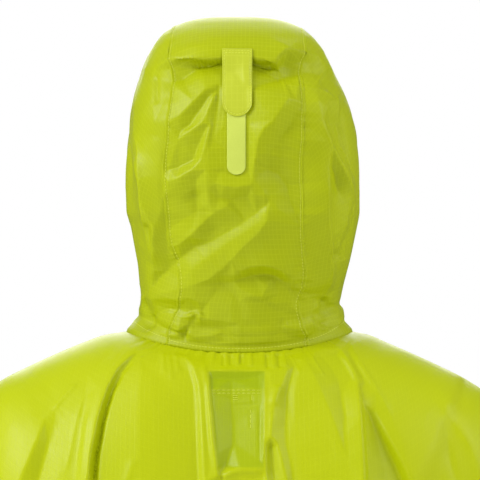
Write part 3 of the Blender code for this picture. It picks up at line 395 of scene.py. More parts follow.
BODY_CREASES = back_creases(
    Edge.SOFT,
    # Small creases beside the broad folds
    (0.8, 2.5, 4, ((148, -80), (151, -104), (154, -130), (157, -155)), Edge.CRISP),
    (0.8, 2.0, 3, ((152, -62), (160, -86), (166, -115), (172, -143)), Edge.CRISP),
    (1.0, 2.5, 4, ((160, -52), (173, -65), (185, -79))),
    (1.0, 3, 4, ((193, -51), (206, -69), (217, -86), (229, -115))),
    (0.8, 2.5, 3, ((76, -20), (74, -45))),
    (0.8, 2.5, 3, ((70, -22), (67, -50))),
    (0.8, 2.5, 3, ((64, -22), (60, -42))),
    (0.8, 2, 2, ((47, -33), (42, -48), (37, -62)), Edge.CRISP),
    (1.2, 4, 4, ((104, -127), (108, -139), (112, -152))),
    (0.8, 2, 3, ((-50, -24), (-56, -34), (-60, -44)), Edge.CRISP),
    (0.8, 2, 3, ((-70, -22), (-77, -34), (-84, -46)), Edge.CRISP),
    (0.8, 3, 3, ((-112, -24), (-126, -44), (-140, -66), (-150, -84))),
    (1.2, 4, 4, ((-203, -69), (-210, -83), (-222, -100), (-232, -120))),
    (-1.2, 4, 5, ((-200, -84), (-208, -118), (-217, -152))),
    # Gathers along the neck seam
    (-1.2, 2.0, 2.0, ((16, -21), (16, -36))),
    (-1.2, 2.0, 2.0, ((8.5, -21), (8, -35))),
    (-1.2, 2.0, 2.0, ((-2, -21), (-2, -34))),
    (-1.2, 2.0, 2.0, ((-27, -20), (-28, -38))),
    (-1.2, 2.0, 2.0, ((-38, -19), (-40, -38))),
    (0.9, 2.0, 2.0, ((1.6, -21), (1.6, -34))),
    (0.9, 2.0, 2.0, ((-11, -21), (-11, -36))),
    (0.9, 2.0, 2.0, ((-33, -19), (-34, -38))),
    (0.9, 2.0, 2.0, ((-43, -18), (-46, -37))),
)

# The broad flat facets of the back, written as those of the hood. Its folds hang from the neck and the
# shoulders.
BACK_FACET_LINES = (
    # The folds over the left shoulder
    ((181, -80, 1), (192, -86, 2), (198, -107, 3.5), (206, -127, 4.5), (216, -150, 5), (230, -200, 4)),
    ((183, -90, 0), (189, -108, -1.5), (195, -130, -2.5), (200, -149, -2.5), (210, -200, -1)),
    ((169, -90, 0.5), (172, -110, 0.5), (177, -133, 0.5), (180, -150, 0.5)),
    ((150, -44, 0.5), (165, -58, 1), (178, -74, 1)),
    ((152, -66, 0.5), (155, -88, 1), (158, -110, 1), (161, -135, 1), (163, -150, 1), (170, -200, 1)),
    ((114, -21, 1), (129, -38, 2), (140, -57, 3), (145, -74, 3.5), (148, -90, 4), (150, -107, 4.5),
     (152.5, -128, 5), (154, -150, 5)),
    ((104, -22, 1.5), (119.5, -38, 3.5), (129, -57, 5), (134.5, -73, 6), (138.5, -88, 6.5),
     (141.5, -104, 7), (145, -119.5, 7.5), (147, -138, 8), (148, -150, 8), (153, -200, 6)),
    ((102, -24, -0.5), (117, -39.5, -1.5), (126.5, -58, -3), (131.8, -74, -4), (135.6, -89, -5),
     (138.3, -104.5, -5.5), (141.5, -120, -6), (143.4, -138, -6), (144.3, -150, -6), (149, -200, -4)),
    ((99, -28, 1), (113, -43, 1.5), (122.5, -60, 1.5), (127.5, -76, 1.5), (131.3, -90, 1.5),
     (134, -105, 1.5), (137, -120, 1.5), (138.7, -138, 1.5), (139.3, -150, 1.5)),
    ((97, -40, 2.5), (99, -60, 3.5), (99, -90, 4), (98, -120, 4), (96, -150, 4)),
    ((87, -40, 1.5), (85, -60, 2.5), (84, -90, 2.5), (83, -120, 2.5), (82, -150, 2.5)),
    ((64, -60, 0), (60, -90, -1), (58, -120, -1.5), (56, -150, -1.5)),
    ((49, -42, -0.5), (45, -57, -1.5), (43.5, -88, -3), (42.5, -119, -4), (41, -149, -4)),
    ((69, -24, 1), (54, -26.5, 2), (46, -35, 2.5), (41, -50, 2.5), (38.5, -70, 2), (37.5, -90, 1.5),
     (36, -120, 1.5), (34.5, -149, 1)),
    ((34.5, -60, 1.5), (33.5, -80, 1), (32, -100, 0.5), (30.5, -120, 0.5), (29, -137, 0.5)),
    ((31.5, -44, 2), (30.5, -60, 3), (29, -80, 3), (27.5, -104, 3), (25.5, -120, 3), (23, -133, 2.5),
     (20.5, -142, 2)),
    # Over the inside patch
    ((29.5, -39.5, 1), (8, -38.5, 1), (-22, -39, 1), (-26.5, -42, 1), (-26.5, -60, 2), (-26, -73, 2),
     (-25, -100, 2), (-24, -127, 2), (-25, -136.5, 1.5)),
    ((27, -45, -1.5), (8, -46, -2.5), (-18, -44, -1)),
    ((28, -60, 0), (25, -80, 0), (23, -104, 0), (21, -120, 0)),
    ((8, -46, -2.5), (8, -64, -5.5), (6, -88, -7), (6, -108, -7), (13, -130, -6)),
    ((-20, -60, 0.5), (-21.5, -73, 0), (-20.5, -100, -0.5), (-20, -127, 0)),
    ((15.7, -141, 0.5), (8, -138, 1.5), (0, -136, 1.5), (-25, -136.5, 1.5)),
    ((18.5, -138, -3), (18.5, -150, -5)),
    ((12, -149, -2), (-10, -147, -1.5), (-22, -148, -1)),
    # The folds over the right shoulder
    ((-31, -42, 2), (-33, -60, 3), (-32, -90, 4), (-30.5, -104, 4)),
    ((-26.5, -114, 2), (-26, -150, 2)),
    ((-31, -112, -2), (-35, -150, -4)),
    ((-37, -112, 1.5), (-42, -130, 2), (-47, -150, 2)),
    ((-38, -64, 2.5), (-43, -52, 2.5), (-47, -40, 2)),
    ((-49, -24, -1), (-55, -34, -1), (-50, -48, -1.5), (-46.5, -62, -2.5), (-45.5, -90, -3),
     (-46.5, -110, -2.5), (-51, -130, -2), (-53, -150, -2)),
    ((-62, -29, 1.5), (-59, -40, 2), (-54.5, -60, 1), (-54, -90, -0.5), (-56, -115, -0.5), (-60, -150, 0)),
    ((-65, -30, 2), (-72.5, -44, 4), (-80, -60, 5), (-89, -82, 6), (-98, -107, 6.5), (-105.5, -127, 6.5),
     (-109, -150, 6)),
    ((-72, -26, 0.5), (-79, -40, 1.5), (-87, -58, 2.5), (-95, -80, 3.5), (-103, -104, 4.5)),
    ((-76, -18, 1), (-82, -25, -1), (-91, -35, -1.5), (-98, -48, -1.5), (-101, -64, -1), (-104, -85, 1)),
    ((-101, -19, 1), (-108, -32, 2.5), (-114, -44, 3)),
    ((-117, -54, 4), (-118.5, -70, 6), (-119.7, -88, 7.5), (-121.3, -119.5, 9), (-122.8, -149, 9.5),
     (-128, -205, 6)),
    ((-119.5, -58, 1), (-121.5, -72, 1.5), (-123, -88, 2), (-124.8, -119.5, 2.5), (-126.3, -149, 2.5),
     (-131, -205, 1)),
    ((-130, -80, -2.5), (-140, -101, -6), (-148, -116, -8), (-156, -132, -9.5), (-165, -155, -10),
     (-180, -205, -6)),
    ((-134, -78, 0.5), (-145, -99, 1), (-154, -115, 1), (-163, -132, 1), (-173, -155, 1)),
    ((-97, -22, -1), (-104, -34, -1), (-110, -46, 0)),
    ((-108, -19, -0.5), (-116, -34, -0.5), (-123, -48, 0)),
    ((-112, -18, 1), (-122, -36, 2), (-136, -60, 2), (-150, -86, 1.5), (-160, -105, 1.5)),
    # The edges of the field, where it is level
    ((112, -8, 0), (75, -16, 0), (40, -22, 0), (0, -24, 0), (-40, -22, 0), (-72, -16, 0), (-112, -8, 0)),
    ((240, 6, 0), (250, -460, 0), (-250, -460, 0), (-240, 6, 0), (240, 6, 0)),
)

# How the inside patch prints through the back
PATCH_PRINT = back_creases(
    Edge.SOFT,
    (1.0, 1.3, 2.0, ((30, -40), (28, -39), (0, -39), (-24, -40), (-25, -41)), Edge.CRISP),
    (-0.7, 3, 3, ((26, -45), (0, -46), (-15, -44))),
    (0.5, 1.1, 1.1, ((28, -57), (-24, -57)), Edge.CRISP),
    (0.5, 1.1, 1.1, ((28, -61), (-24, -61)), Edge.CRISP),
    (0.8, 1.5, 1.8, ((31, -41), (29, -59), (25, -104), (22, -131)), Edge.CRISP),
    (0.8, 1.8, 1.5, ((-25, -41), (-24.5, -90), (-24, -131)), Edge.CRISP),
    (-0.5, 1.0, 1.0, ((-12.5, -62), (-12.5, -71))),
    (-0.5, 1.0, 1.0, ((-11, -77), (-11, -96))),
    (-0.6, 1.0, 1.0, ((8, -70.6), (-21, -70.6))),
    (-0.8, 1.5, 1.5, ((-20, -70), (-20, -131))),
    (1.5, 3, 3, ((17, -143), (-3, -137), (-24, -138))),
    (1.2, 3, 3, ((36, -25), (34, -44), (31, -69), (28.6, -94), (24.5, -123))),
    (1.8, 5, 5, ((-40, -54), (-33, -74))),
    (-2.0, 5, 5, ((-30, -106), (-31, -145))),
)
# The patch's rows of stitches that show on the back: the two ends of each, in the back view
PATCH_SEAMS = (
    ((27.5, -58), (-22, -58)),
    ((27, -61), (-22, -61)),
    ((7, -63.4), (0, -63.4)),
    ((7, -65.4), (0, -65.4)),
    ((7, -67.4), (0, -67.4)),
    ((-12.4, -62), (-12.4, -70)),
    ((-11, -77), (-11, -96)),
)

PATCH_EDGE_TOP = -39.5 * MM
PATCH_EDGE_BOTTOM = -134 * MM

# Folds that hang to the hem: place, height, width and the height at which they begin, in metres
DRAPES = rows_of(
    Drape,
    (0.06, 38, 0.04, -0.24), (0.18, 44, 0.044, -0.14), (0.3, 36, 0.038, -0.2), (0.42, 44, 0.042, -0.22),
    (0.56, 40, 0.04, -0.26), (0.68, 46, 0.044, -0.18), (0.8, 34, 0.038, -0.22), (0.92, 42, 0.042, -0.26),
    (-0.07, 44, 0.042, -0.2), (-0.19, 36, 0.038, -0.26), (-0.31, 46, 0.044, -0.15),
    (-0.44, 38, 0.04, -0.24), (-0.57, 44, 0.042, -0.2), (-0.7, 36, 0.038, -0.22), (-0.82, 44, 0.042, -0.18),
    (-0.94, 34, 0.038, -0.28),
)


def curve_through(stops: Array, rows: Array, at: Array) -> Array:
    """Reads a smooth curve through a table's rows, which never swings past them.

    Args:
        stops: The rising positions of the rows.
        rows: One row of values for each stop.
        at: The positions to read.

    Returns:
        One row of values for each position.
    """
    gaps = np.diff(stops)
    slopes = np.diff(rows, axis=0) / gaps[:, None]
    product = slopes[:-1] * slopes[1:]
    total = np.where(product > 0, slopes[:-1] + slopes[1:], 1.0)
    inner = np.where(product > 0, 2.0 * product / total, 0.0)
    tangents = np.vstack([slopes[:1], inner, slopes[-1:]])
    cell = np.clip(np.searchsorted(stops, at) - 1, 0, len(gaps) - 1)
    gap = gaps[cell][:, None]
    t = np.clip((at - stops[cell])[:, None] / gap, 0.0, 1.0)
    start, end = rows[cell], rows[cell + 1]
    near = (1 + 2 * t) * (1 - t) ** 2 * start + t * (1 - t) ** 2 * gap * tangents[cell]
    return near + t**2 * (3 - 2 * t) * end - t**2 * (1 - t) * gap * tangents[cell + 1]


def smooth_step(value: Array) -> Array:
    """Turns a ramp from 0 to 1 into a smooth one."""
    t = np.clip(value, 0.0, 1.0)
    return t * t * (3 - 2 * t)


def finer(line: Array, pieces: int = 4) -> Array:
    """Rounds a drawn line by reading a smooth curve through its points."""
    stops = np.arange(len(line), dtype=float)
    return curve_through(stops, line, np.linspace(0, len(line) - 1, pieces * (len(line) - 1) + 1))


def unit(vectors: Array) -> Array:
    """Brings each vector to a length of one."""
    return vectors / np.maximum(np.linalg.norm(vectors, axis=-1), 1e-12)[..., None]


def marks_along(line: Array) -> Array:
    """The distance from a line's start to each of its points."""
    return np.concatenate([[0.0], np.cumsum(np.linalg.norm(np.diff(line, axis=0), axis=1))])


def read_at(line: Array, marks: Array, at: float | Array) -> Array:
    """Reads a line at distances from its start."""
    return np.stack([np.interp(at, marks, line[:, axis]) for axis in range(3)], axis=-1)


def read_along(line: Array, shares: Array) -> Array:
    """Reads a line at shares of its length."""
    marks = marks_along(line)
    return read_at(line, marks, shares * marks[-1])


def nearest(distances: Array, wanted: float) -> int:
    """The place of the distance that is nearest to the wanted one."""
    return int(np.argmin(np.abs(distances - wanted)))


def graded(*stretches: tuple[float, float, int]) -> Array:
    """Rising positions made of even stretches, each given by its start, its end and its number of steps."""
    parts = [np.linspace(start, end, steps + 1)[:-1] for start, end, steps in stretches]
    return np.concatenate([*parts, [stretches[-1][1]]])


@dataclass(frozen=True)
class NeckSeam:
    """The seam that joins the hood to the body, a squared oval that falls towards its ends."""

    half_width: float = 113 * MM
    back: float = 82 * MM
    front: float = 88 * MM
    squareness: float = 2.2
    side_z: float = -1 * MM
    back_z: float = -21.5 * MM
    front_z: float = -50 * MM

    def ring(self, angle: Array) -> Array:
        """Points of the seam: angle 0 is the wearer's left, 90 degrees the middle of the back.

        Args:
            angle: The angles to read.

        Returns:
            One point for each angle.
        """
        across, along = np.cos(angle), np.sin(angle)
        power = 2.0 / self.squareness
        depth = np.where(along > 0, self.back, self.front)
        fall = np.where(along > 0, self.back_z, self.front_z)
        x = self.half_width * np.sign(across) * np.abs(across) ** power
        y = depth * np.sign(along) * np.abs(along) ** power
        z = self.side_z * across**2 + fall * along**2
        return np.stack([x, y, z], axis=-1)

    def drop(self, x: Array, y: Array) -> Array:
        """The height of the seam in the direction of a point.

        Args:
            x: Places across.
            y: Places to the back.

        Returns:
            One height for each point.
        """
        depth = np.where(y > 0, self.back, self.front)
        fall = np.where(y > 0, self.back_z, self.front_z)
        side = np.abs(x / self.half_width) ** self.squareness
        end = np.abs(y / depth) ** self.squareness
        share = end / np.maximum(side + end, 1e-12)
        return self.side_z * (1 - share) + fall * share

    def angle_at(self, x: float | Array) -> float | Array:
        """The angle of the seam's back half at a distance from the middle plane."""
        share = np.abs(x) / self.half_width
        return np.arccos(share ** (self.squareness / 2) * np.sign(x))


def beside(
    line: Array, points: Array, reach: float, normals: Array | None = None
) -> tuple[Array, Array, Array, Array]:
    """Finds how points lie beside a line.

    Args:
        line: The line's points.
        points: The points to place.
        reach: How far round the line's box a point is still placed.
        normals: The way out of the cloth at each point, if its side is wanted.

    Returns:
        The indices of the points in reach, and for each its distance from the line, its place along it and
        its side, which is over 0 on the left of a walk along the line.
    """
    low, high = line.min(axis=0) - reach, line.max(axis=0) + reach
    near = np.flatnonzero(((points > low) & (points < high)).all(axis=1))
    spots = points[near]
    away = np.full(len(near), np.inf)
    along, hand = np.zeros(len(near)), np.zeros(len(near))
    if len(near) == 0:
        return near, away, along, hand
    for start, end, mark in zip(line[:-1], line[1:], marks_along(line)[:-1]):
        length = float(np.linalg.norm(end - start))
        way = (end - start) / length
        part = np.clip((spots - start) @ way, 0.0, length)
        gap = spots - start - part[:, None] * way
        distance = np.linalg.norm(gap, axis=1)
        nearer = distance < away
        away = np.where(nearer, distance, away)
        along = np.where(nearer, mark + part, along)
        if normals is not None:
            hand = np.where(nearer, np.einsum("ij,ij->i", np.cross(way, gap), normals[near]), hand)
    return near, away, along, hand


@dataclass(frozen=True)
class Track:
    """A crease's line laid on a form, which says how far it lifts the cloth beside it."""

    crease: Crease
    line: Array
    reach: float = 4.5
    fade_share: float = 0.22
    end_share: float = 0.15
    tent_reach: float = 1.8
    tent_rounding: float = 0.2

    def heights(self, points: Array, normals: Array) -> Array:
        """How far the crease lifts each point.

        Args:
            points: Points of the smooth form.
            normals: The form's unit normals at them.

        Returns:
            One height for each point.
        """
        crease = self.crease
        reach = self.reach * max(crease.left, crease.right) * MM
        near, away, along, hand = beside(self.line, points, reach, normals)
        flank = np.where(hand > 0, crease.left, crease.right) * MM
        length = marks_along(self.line)[-1]
        fade = smooth_step(np.minimum(along, length - along) / length / self.fade_share + self.end_share)
        if crease.edge is Edge.TENT:
            share = np.clip(1 - away / (self.tent_reach * flank), 0, 1)
            foot = self.tent_rounding
            profile = np.where(share < foot, share**2 / (2 * foot), share - foot / 2) / (1 - foot / 2)
        else:
            profile = np.exp(-((away / flank) ** crease.edge.value))
        lift = np.zeros(len(points))
        lift[near] = crease.height * MM * fade * profile
        return lift


class Pucker:
    """Small puckers that a line of stitches draws into the cloth beside it."""

    def __init__(self, line: Array, seed: int, depth: float, reach: float, pitch: float) -> None:
        """Reads the line, and draws the waves that the puckers are made of.

        Args:
            line: The stitched line in space.
            seed: The seed of its waves.
            depth: How deep a pucker is at the stitches.
            reach: How far it runs from them.
            pitch: The distance between two puckers.
        """
        self.line = read_along(line, np.linspace(0, 1, max(int(marks_along(line)[-1] / (4 * MM)), 2)))
        self.depth, self.reach = depth, reach
        draw = np.random.default_rng(seed)
        self.waves = [
            (math.tau / (pitch * draw.uniform(0.75, 1.35)), draw.uniform(0, math.tau)) for _ in range(3)
        ]
        self.long_wave = (math.tau / (pitch * 6.5), draw.uniform(0, math.tau))

    def heights(self, points: Array) -> Array:
        """How far the puckers lift each point.

        Args:
            points: Points of the smooth form.

        Returns:
            One height for each point.
        """
        near, away, along, _ = beside(self.line, points, 4 * self.reach)
        wave = sum(np.sin(rate * along + turn) for rate, turn in self.waves) / len(self.waves)
        swell = 0.6 + 0.4 * np.sin(self.long_wave[0] * along + self.long_wave[1])
        lift = np.zeros(len(points))
        lift[near] = self.depth * wave * swell * np.exp(-((away / self.reach) ** 1.3))
        return lift


class Facets:
    """A field of flat facets with crisp borders, as coated cloth falls into them and keeps them."""

    def __init__(self, corners: Array, heights: Array, edges: list[tuple[int, int]]) -> None:
        """Joins corners into facets.

        Args:
            corners: The corners' places across and up.
            heights: How far each corner stands out.
            edges: Pairs of corners that are joined by a border.
        """
        joined = delaunay_2d_cdt([Vector(corner) for corner in corners], edges, [], 0, 1e-7)
        if not all(joined[3]):
            crossings = [tuple(spot) for spot, origin in zip(joined[0], joined[3]) if not origin]
            raise ValueError(f"borders of facets cross at {crossings}")
        self.corners = np.array([tuple(corner) for corner in joined[0]])
        self.heights = heights[[origin[0] for origin in joined[3]]]
        self.triangles = joined[2]

    @classmethod
    def crumpled(
        cls, seed: int, pitch: float, height: float, box: Box
    ) -> Facets:
        """Draws the small facets that handling leaves.

        Args:
            seed: The seed of the draw.
            pitch: The distance between two corners.
            height: How far a corner stands out or in at most.
            box: The least and greatest place across, and then up.

        Returns:
            The facets.
        """
        draw = np.random.default_rng(seed)
        across = np.arange(box[0], box[1] + pitch, pitch)
        up = np.arange(box[2], box[3] + pitch, pitch)
        grid = np.array([(x + 0.5 * pitch * (row % 2), z) for row, z in enumerate(up) for x in across])
        corners = grid + draw.uniform(-0.42, 0.42, grid.shape) * pitch
        return cls(corners, draw.uniform(-1.0, 1.0, len(grid)) * height, [])

    @classmethod
    def folded(cls, lines: tuple) -> Facets:
        """Lays facets between lines of corners, whose places and heights are in millimetres."""
        corners = np.array([corner for line in lines for corner in line], float) * MM
        ends = np.cumsum([len(line) for line in lines]) - 1
        edges = [(place, place + 1) for place in range(len(corners) - 1) if place not in ends]
        return cls(corners[:, :2], corners[:, 2], edges)

    def lift(self, places: Array, rounding: float = 0.0) -> Array:
        """How far the facets lift the cloth.

        Args:
            places: Places across and up.
            rounding: How far to each side a border is rounded.

        Returns:
            One height for each place.
        """
        if rounding > 0:
            shifts = np.array([(1, 1), (1, -1), (-1, 1), (-1, -1)]) * rounding / math.sqrt(2)
            return sum(self.lift(places + shift) for shift in shifts) / len(shifts)
        lift = np.zeros(len(places))
        order = np.argsort(places[:, 1])
        ups = places[order, 1]
        for triangle in self.triangles:
            a, b, c = self.corners[list(triangle)]
            first, last = np.searchsorted(ups, (min(a[1], b[1], c[1]), max(a[1], b[1], c[1])))
            rows = order[first:last]
            ab, ac = b - a, c - a
            size = ab[0] * ac[1] - ab[1] * ac[0]
            if len(rows) == 0 or abs(size) < 1e-12:
                continue
            gap = places[rows] - a
            beta = (gap[:, 0] * ac[1] - gap[:, 1] * ac[0]) / size
            gamma = (ab[0] * gap[:, 1] - ab[1] * gap[:, 0]) / size
            inside = (beta >= -1e-6) & (gamma >= -1e-6) & (beta + gamma <= 1 + 1e-6)
            one, two, three = self.heights[list(triangle)]
            value = one + beta * (two - one) + gamma * (three - one)
            lift[rows[inside]] = value[inside]
        return lift


def distance_to(line: Array, points: Array, limit: float) -> Array:
    """How far points are from a line, or the limit where they are further.

    Args:
        line: The line's points.
        points: The points to measure.
        limit: The largest distance.

    Returns:
        One distance for each point.
    """
    near, away, _, _ = beside(line, points, limit)
    result = np.full(len(points), limit)
    result[near] = np.minimum(away, limit)
    return result


def in_metres(rows: tuple) -> Array:
    """A table as an array, in metres but for its last column, which has no unit."""
    values = np.array([astuple(row) for row in rows], float)
    values[:, :-1] *= MM
    return values


@dataclass(frozen=True)
class HoodForm:
    """The smooth hollow form of the hood, from the neck seam to the crown."""

    neck: NeckSeam = NeckSeam()
    centre_z: float = 90 * MM
    top_z: float = 313.5 * MM
    crown_from_z: float = 190 * MM
    side_rounding: float = 3.0
    back_rounding: float = 2.2
    front_rounding: float = 3.5
    level_above: float = 100 * MM
    table: Array = field(default_factory=lambda: in_metres(HOOD_SECTIONS))

    def crown(self, height: Array, rounding: float) -> Array:
        """How much of its section the hood keeps at a height, down to none at the top of the crown."""
        t = np.clip((height - self.crown_from_z) / (self.top_z - self.crown_from_z), 0.0, 1.0)
        return np.maximum(1.0 - t**rounding, 0.0) ** (1.0 / rounding)

    def depth(self, points: Array) -> Array:
        """How far points are outside the form: under 0 inside it, 0 on it and over 0 outside.

        Args:
            points: Points in space.

        Returns:
            One measure for each point, with no unit.
        """
        x, y, z = points[:, 0], points[:, 1], points[:, 2]
        level = 1.0 - smooth_step(z / self.level_above)
        height = z - self.neck.drop(x, y) * level
        sections = curve_through(self.table[:, 0], self.table[:, 1:], height)
        half_width, lean, back, front, squareness = sections.T
        side = half_width * self.crown(height, self.side_rounding)
        ahead = front * self.crown(height, self.front_rounding)
        behind = back * self.crown(height, self.back_rounding)
        across = np.abs(x - lean) / np.maximum(side, 1e-9)
        along = np.abs(y) / np.maximum(np.where(y < 0, ahead, behind), 1e-9)
        inside = np.minimum(across, 50.0) ** squareness + np.minimum(along, 50.0) ** squareness
        return np.where(height >= self.top_z, 1e3, inside - 1.0)

    def meet(self, start: Array, direction: Array, reach: float = 0.6) -> Array:
        """Follows rays out of the hood's inside to its form.

        Args:
            start: Points inside the form.
            direction: One unit vector for each point.
            reach: A length that is past the form.

        Returns:
            The points where the rays leave the form.
        """
        near, far = np.zeros(len(start)), np.full(len(start), reach)
        for _ in range(BISECTIONS):
            middle = (near + far) / 2
            outside = self.depth(start + direction * middle[:, None]) > 0
            far, near = np.where(outside, middle, far), np.where(outside, near, middle)
        return start + direction * near[:, None]

    def onto(self, points: Array) -> Array:
        """Moves rough points straight away from the hood's centre onto its form."""
        centre = np.array([0.0, 0.0, self.centre_z])
        return self.meet(np.broadcast_to(centre, points.shape), unit(points - centre))

    def across(self, x: Array, angle: Array) -> Array:
        """Points at a distance from the middle plane and an angle in it, 0 being straight back."""
        start = np.stack([x, np.zeros_like(x), np.full_like(x, self.centre_z)], axis=1)
        return self.meet(start, np.stack([np.zeros_like(x), np.cos(angle), np.sin(angle)], axis=1))

    def seen_from(self, view: View, plane: Array) -> Array:
        """Points of the form that show in a view at the given places of its plane.

        Args:
            view: The side that the form is seen from.
            plane: Places across and up.

        Returns:
            One point for each place.
        """
        first, second, depth, sign = view.value
        start, rays = np.zeros((len(plane), 3)), np.zeros((len(plane), 3))
        start[:, first], start[:, second] = plane[:, 0], plane[:, 1]
        rays[:, depth] = sign
        return self.meet(start, rays)

    def normals(self, points: Array) -> Array:
        """Unit vectors that point out of the form."""
        slopes = np.zeros_like(points)
        for axis in range(3):
            shift = np.zeros(3)
            shift[axis] = 0.4 * MM
            slopes[:, axis] = self.depth(points + shift) - self.depth(points - shift)
        return unit(slopes)

    def over_neck(self, points: Array) -> Array:
        """How high points are over the neck seam."""
        return points[:, 2] - self.neck.drop(points[:, 0], points[:, 1])


@dataclass(frozen=True)
class BodyForm:
    """The smooth hollow form of the body, from the neck seam to the hem."""

    stops: Array = field(default_factory=lambda: np.arange(len(BODY_RINGS), dtype=float))
    rows: Array = field(default_factory=lambda: in_metres(BODY_RINGS))

    @property
    def last_ring(self) -> float:
        """The place of the hem in the table of rings."""
        return float(len(self.stops) - 1)

    def read(self, ring: Array) -> Array:
        """The columns of the table of rings at places in it."""
        return curve_through(self.stops, self.rows, ring).T

    def point(self, angle: Array, ring: Array) -> Array:
        """Points of the form.

        Args:
            angle: The turn round the body: 0 is the wearer's left, 90 degrees the middle of the back.
            ring: The place in the table of rings, with parts of a ring between two rows.

        Returns:
            One point for each pair.
        """
        side_x, side_z, lean, back_y, back_z, front_y, front_z, squareness = self.read(ring)
        across, along = np.cos(angle), np.sin(angle)
        behind = along > 0
        power = 2.0 / squareness
        x = side_x * np.sign(across) * np.abs(across) ** power + lean
        y = np.where(behind, back_y, front_y) * np.sign(along) * np.abs(along) ** power
        z = side_z * across**2 + np.where(behind, back_z, front_z) * along**2
        return np.stack([x, y, z], axis=1)

    def normals(self, angle: Array, ring: Array) -> Array:
        """Unit vectors that point out of the form."""
        turn, run = 0.02, 0.05
        round_way = self.point(angle + turn, ring) - self.point(angle - turn, ring)
        low, high = np.minimum(ring + run, self.last_ring), np.maximum(ring - run, 0.0)
        return unit(np.cross(self.point(angle, low) - self.point(angle, high), round_way))

    def seen_from(self, view: View, plane: Array) -> Array:
        """Points of the form that show in a view at the given places of its plane.

        Args:
            view: The side that the form is seen from.
            plane: Places across and up.

        Returns:
            One point for each place.
        """
        first, _, _, sign = view.value
        near, far = np.zeros(len(plane)), np.full(len(plane), self.last_ring)
        angle = np.zeros(len(plane))
        for _ in range(BISECTIONS):
            middle = (near + far) / 2
            side_x, _, lean, back_y, _, front_y, _, squareness = self.read(middle)
            if first == 0:
                share = (plane[:, 0] - lean) / side_x
                across = np.sign(share) * np.minimum(np.abs(share), 1.0) ** (squareness / 2)
                angle = sign * np.arccos(across)
            else:
                share = plane[:, 0] / np.where(plane[:, 0] > 0, back_y, front_y)
                along = np.sign(share) * np.minimum(np.abs(share), 1.0) ** (squareness / 2)
                angle = np.arcsin(along) if sign > 0 else math.pi - np.arcsin(along)
            below = self.point(angle, middle)[:, 2] < plane[:, 1]
            far, near = np.where(below, middle, far), np.where(below, near, middle)
        return self.point(angle, near)


def tracks_on(form: HoodForm | BodyForm, creases: tuple[Crease, ...]) -> list[Track]:
    """Lays the lines of creases on a form."""
    lines = (finer(np.array(crease.line, float) * MM) for crease in creases)
    return [Track(crease, form.seen_from(crease.view, line)) for crease, line in zip(creases, lines)]


def crumples(view: View, seed: int, count: int, box: Box, size: float) -> tuple:
    """Draws the small creases that handling leaves all over a cloth.

    Args:
        view: The view that they are drawn in.
        seed: The seed of the draw.
        count: How many there are.
        box: The lowest and highest place of their middles, in millimetres.
        size: The height of the highest, in millimetres.

    Returns:
        The creases.
    """
    draw = np.random.default_rng(seed)
    result = []
    for _ in range(count):
        x, z = draw.uniform(box[0], box[1]), draw.uniform(box[2], box[3])
        turn, bend, reach = draw.uniform(0, math.tau), draw.uniform(-0.5, 0.5), draw.uniform(5, 16)
        line = tuple(
            (x + step * reach * math.cos(turn + bend * step), z + step * reach * math.sin(turn + bend * step))
            for step in (-1.0, 0.0, 1.0)
        )
        height = size * draw.uniform(0.35, 1.0) * (1 if draw.random() < 0.6 else -1)
        result.append(Crease(view, height, draw.uniform(1.6, 4.5), draw.uniform(1.6, 4.5), line, Edge.CRISP))
    return tuple(result)


@dataclass(frozen=True)
class Wire:
    """A socket of a material's nodes, on which arithmetic adds Math nodes."""

    tree: bpy.types.NodeTree
    socket: bpy.types.NodeSocket

    def math(self, operation: str, *values: Wire | float, clamp: bool = False) -> Wire:
        """Adds a Math node with this socket as its first value.

        Args:
            operation: The node's operation.
            values: Its further values, wires or numbers.
            clamp: Whether its result stays between 0 and 1.

        Returns:
            The node's result.
        """
        node = self.tree.nodes.new("ShaderNodeMath")
        node.operation = operation
        node.use_clamp = clamp
        for place, value in enumerate((self, *values)):
            if isinstance(value, Wire):
                self.tree.links.new(value.socket, node.inputs[place])
            else:
                node.inputs[place].default_value = value
        return Wire(self.tree, node.outputs[0])

    def __add__(self, other: Wire | float) -> Wire:
        """Adds."""
        return self.math("ADD", other)

    __radd__ = __add__

    def __sub__(self, other: Wire | float) -> Wire:
        """Subtracts."""
        return self.math("SUBTRACT", other)

    def __rsub__(self, other: float) -> Wire:
        """Subtracts from a number."""
        return self * -1.0 + other

    def __mul__(self, other: Wire | float) -> Wire:
        """Multiplies."""
        return self.math("MULTIPLY", other)

    __rmul__ = __mul__

    def __truediv__(self, other: Wire | float) -> Wire:
        """Divides."""
        return self.math("DIVIDE", other)


